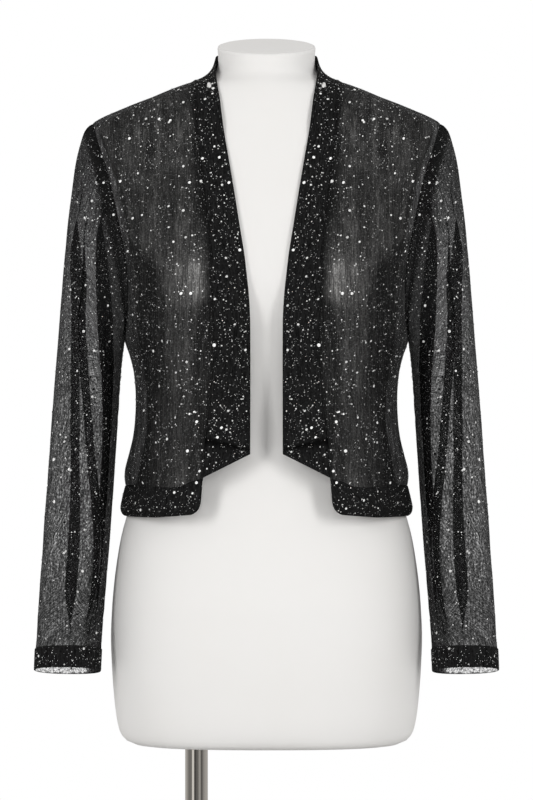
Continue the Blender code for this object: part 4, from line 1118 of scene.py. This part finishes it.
# White studio: the camera sees white, the part is lit by soft grey light that is stronger from
# behind and above, and metal sees a room of its own: degrees round from the camera, brightness.
SOFT, SOFT_BACK, SOFT_UP = 0.45, 0.48, 0.36
ROOM = [(-180, 0.50), (-122, 0.62), (-71, 0.18), (-50, 0.30), (-43, 1.05), (-35, 1.05), (-27, 0.30),
        (-12, 0.10), (0, 0.10), (14, 0.25), (20, 0.90), (28, 0.90), (35, 0.30), (54, 0.15), (90, 0.52),
        (130, 0.60), (180, 0.45)]
world = bpy.data.worlds.new("studio")
scene.world = world
world.use_nodes = True
tree = world.node_tree
tree.nodes.clear()
toward = node(tree, "ShaderNodeSeparateXYZ", {0: node(tree, "ShaderNodeTexCoord").outputs["Generated"]})
front = math_node(tree, "MULTIPLY", toward.outputs[1], -1.0)
turn = math_node(tree, "ARCTAN2", toward.outputs[0], front)
ramp = node(tree, "ShaderNodeValToRGB", {"Fac": math_node(tree, "MULTIPLY_ADD", turn, 0.5 / math.pi, 0.5)})
ramp.color_ramp.elements.remove(ramp.color_ramp.elements[1])
for k, (degrees, bright) in enumerate(ROOM):
    place = degrees / 360 + 0.5
    stop = ramp.color_ramp.elements.new(place) if k else ramp.color_ramp.elements[0]
    stop.position = place
    stop.color = grey(bright, 0.02)
ray = node(tree, "ShaderNodeLightPath")
above = math_node(tree, "MAXIMUM", toward.outputs[2], 0.0)
soft = node(tree, "ShaderNodeCombineColor")
behind = math_node(tree, "MULTIPLY_ADD", toward.outputs[1], SOFT_BACK, SOFT)
for channel in soft.inputs:
    tree.links.new(math_node(tree, "MULTIPLY_ADD", above, SOFT_UP, behind), channel)
lit = mixed(tree, ray.outputs["Is Glossy Ray"], soft.outputs[0], ramp.outputs[0])
seen = mixed(tree, ray.outputs["Is Camera Ray"], lit, grey(1.0))
sky = node(tree, "ShaderNodeBackground", {"Color": seen, "Strength": 1.0})
node(tree, "ShaderNodeOutputWorld", {"Surface": sky.outputs[0]})

# Tall soft boxes round the camera: name, degrees round from it, power in watts.
BOXES = [("left box", -42.0, 43.0), ("right box", 42.0, 43.0), ("front box", 0.0, 12.0)]
BOX_AWAY, BOX_HIGH, BOX_WIDE, BOX_TALL, AIM = 3.0, 1.35, 0.7, 1.8, 0.62
for name, degrees, watts in BOXES:
    box = bpy.data.lights.new(name, "AREA")
    box.shape, box.size, box.size_y, box.energy = "RECTANGLE", BOX_WIDE, BOX_TALL, watts
    lamp = bpy.data.objects.new(name, box)
    lamp.visible_glossy = False
    scene.collection.objects.link(lamp)
    round_by = math.radians(degrees)
    lamp.location = (BOX_AWAY * math.sin(round_by), -BOX_AWAY * math.cos(round_by), BOX_HIGH)
    lamp.rotation_euler = (Vector((0, 0, AIM)) - lamp.location).to_track_quat("-Z", "Y").to_euler()

camera = bpy.data.cameras.new("camera")
camera.lens, camera.sensor_width = LENS, FILM
eye = bpy.data.objects.new("camera", camera)
scene.collection.objects.link(eye)
eye.location = (0.0, -CAMERA_AWAY, CAMERA_HIGH)
eye.rotation_euler = (math.pi / 2, 0.0, 0.0)
scene.camera = eye
scene.view_settings.view_transform = "Standard"
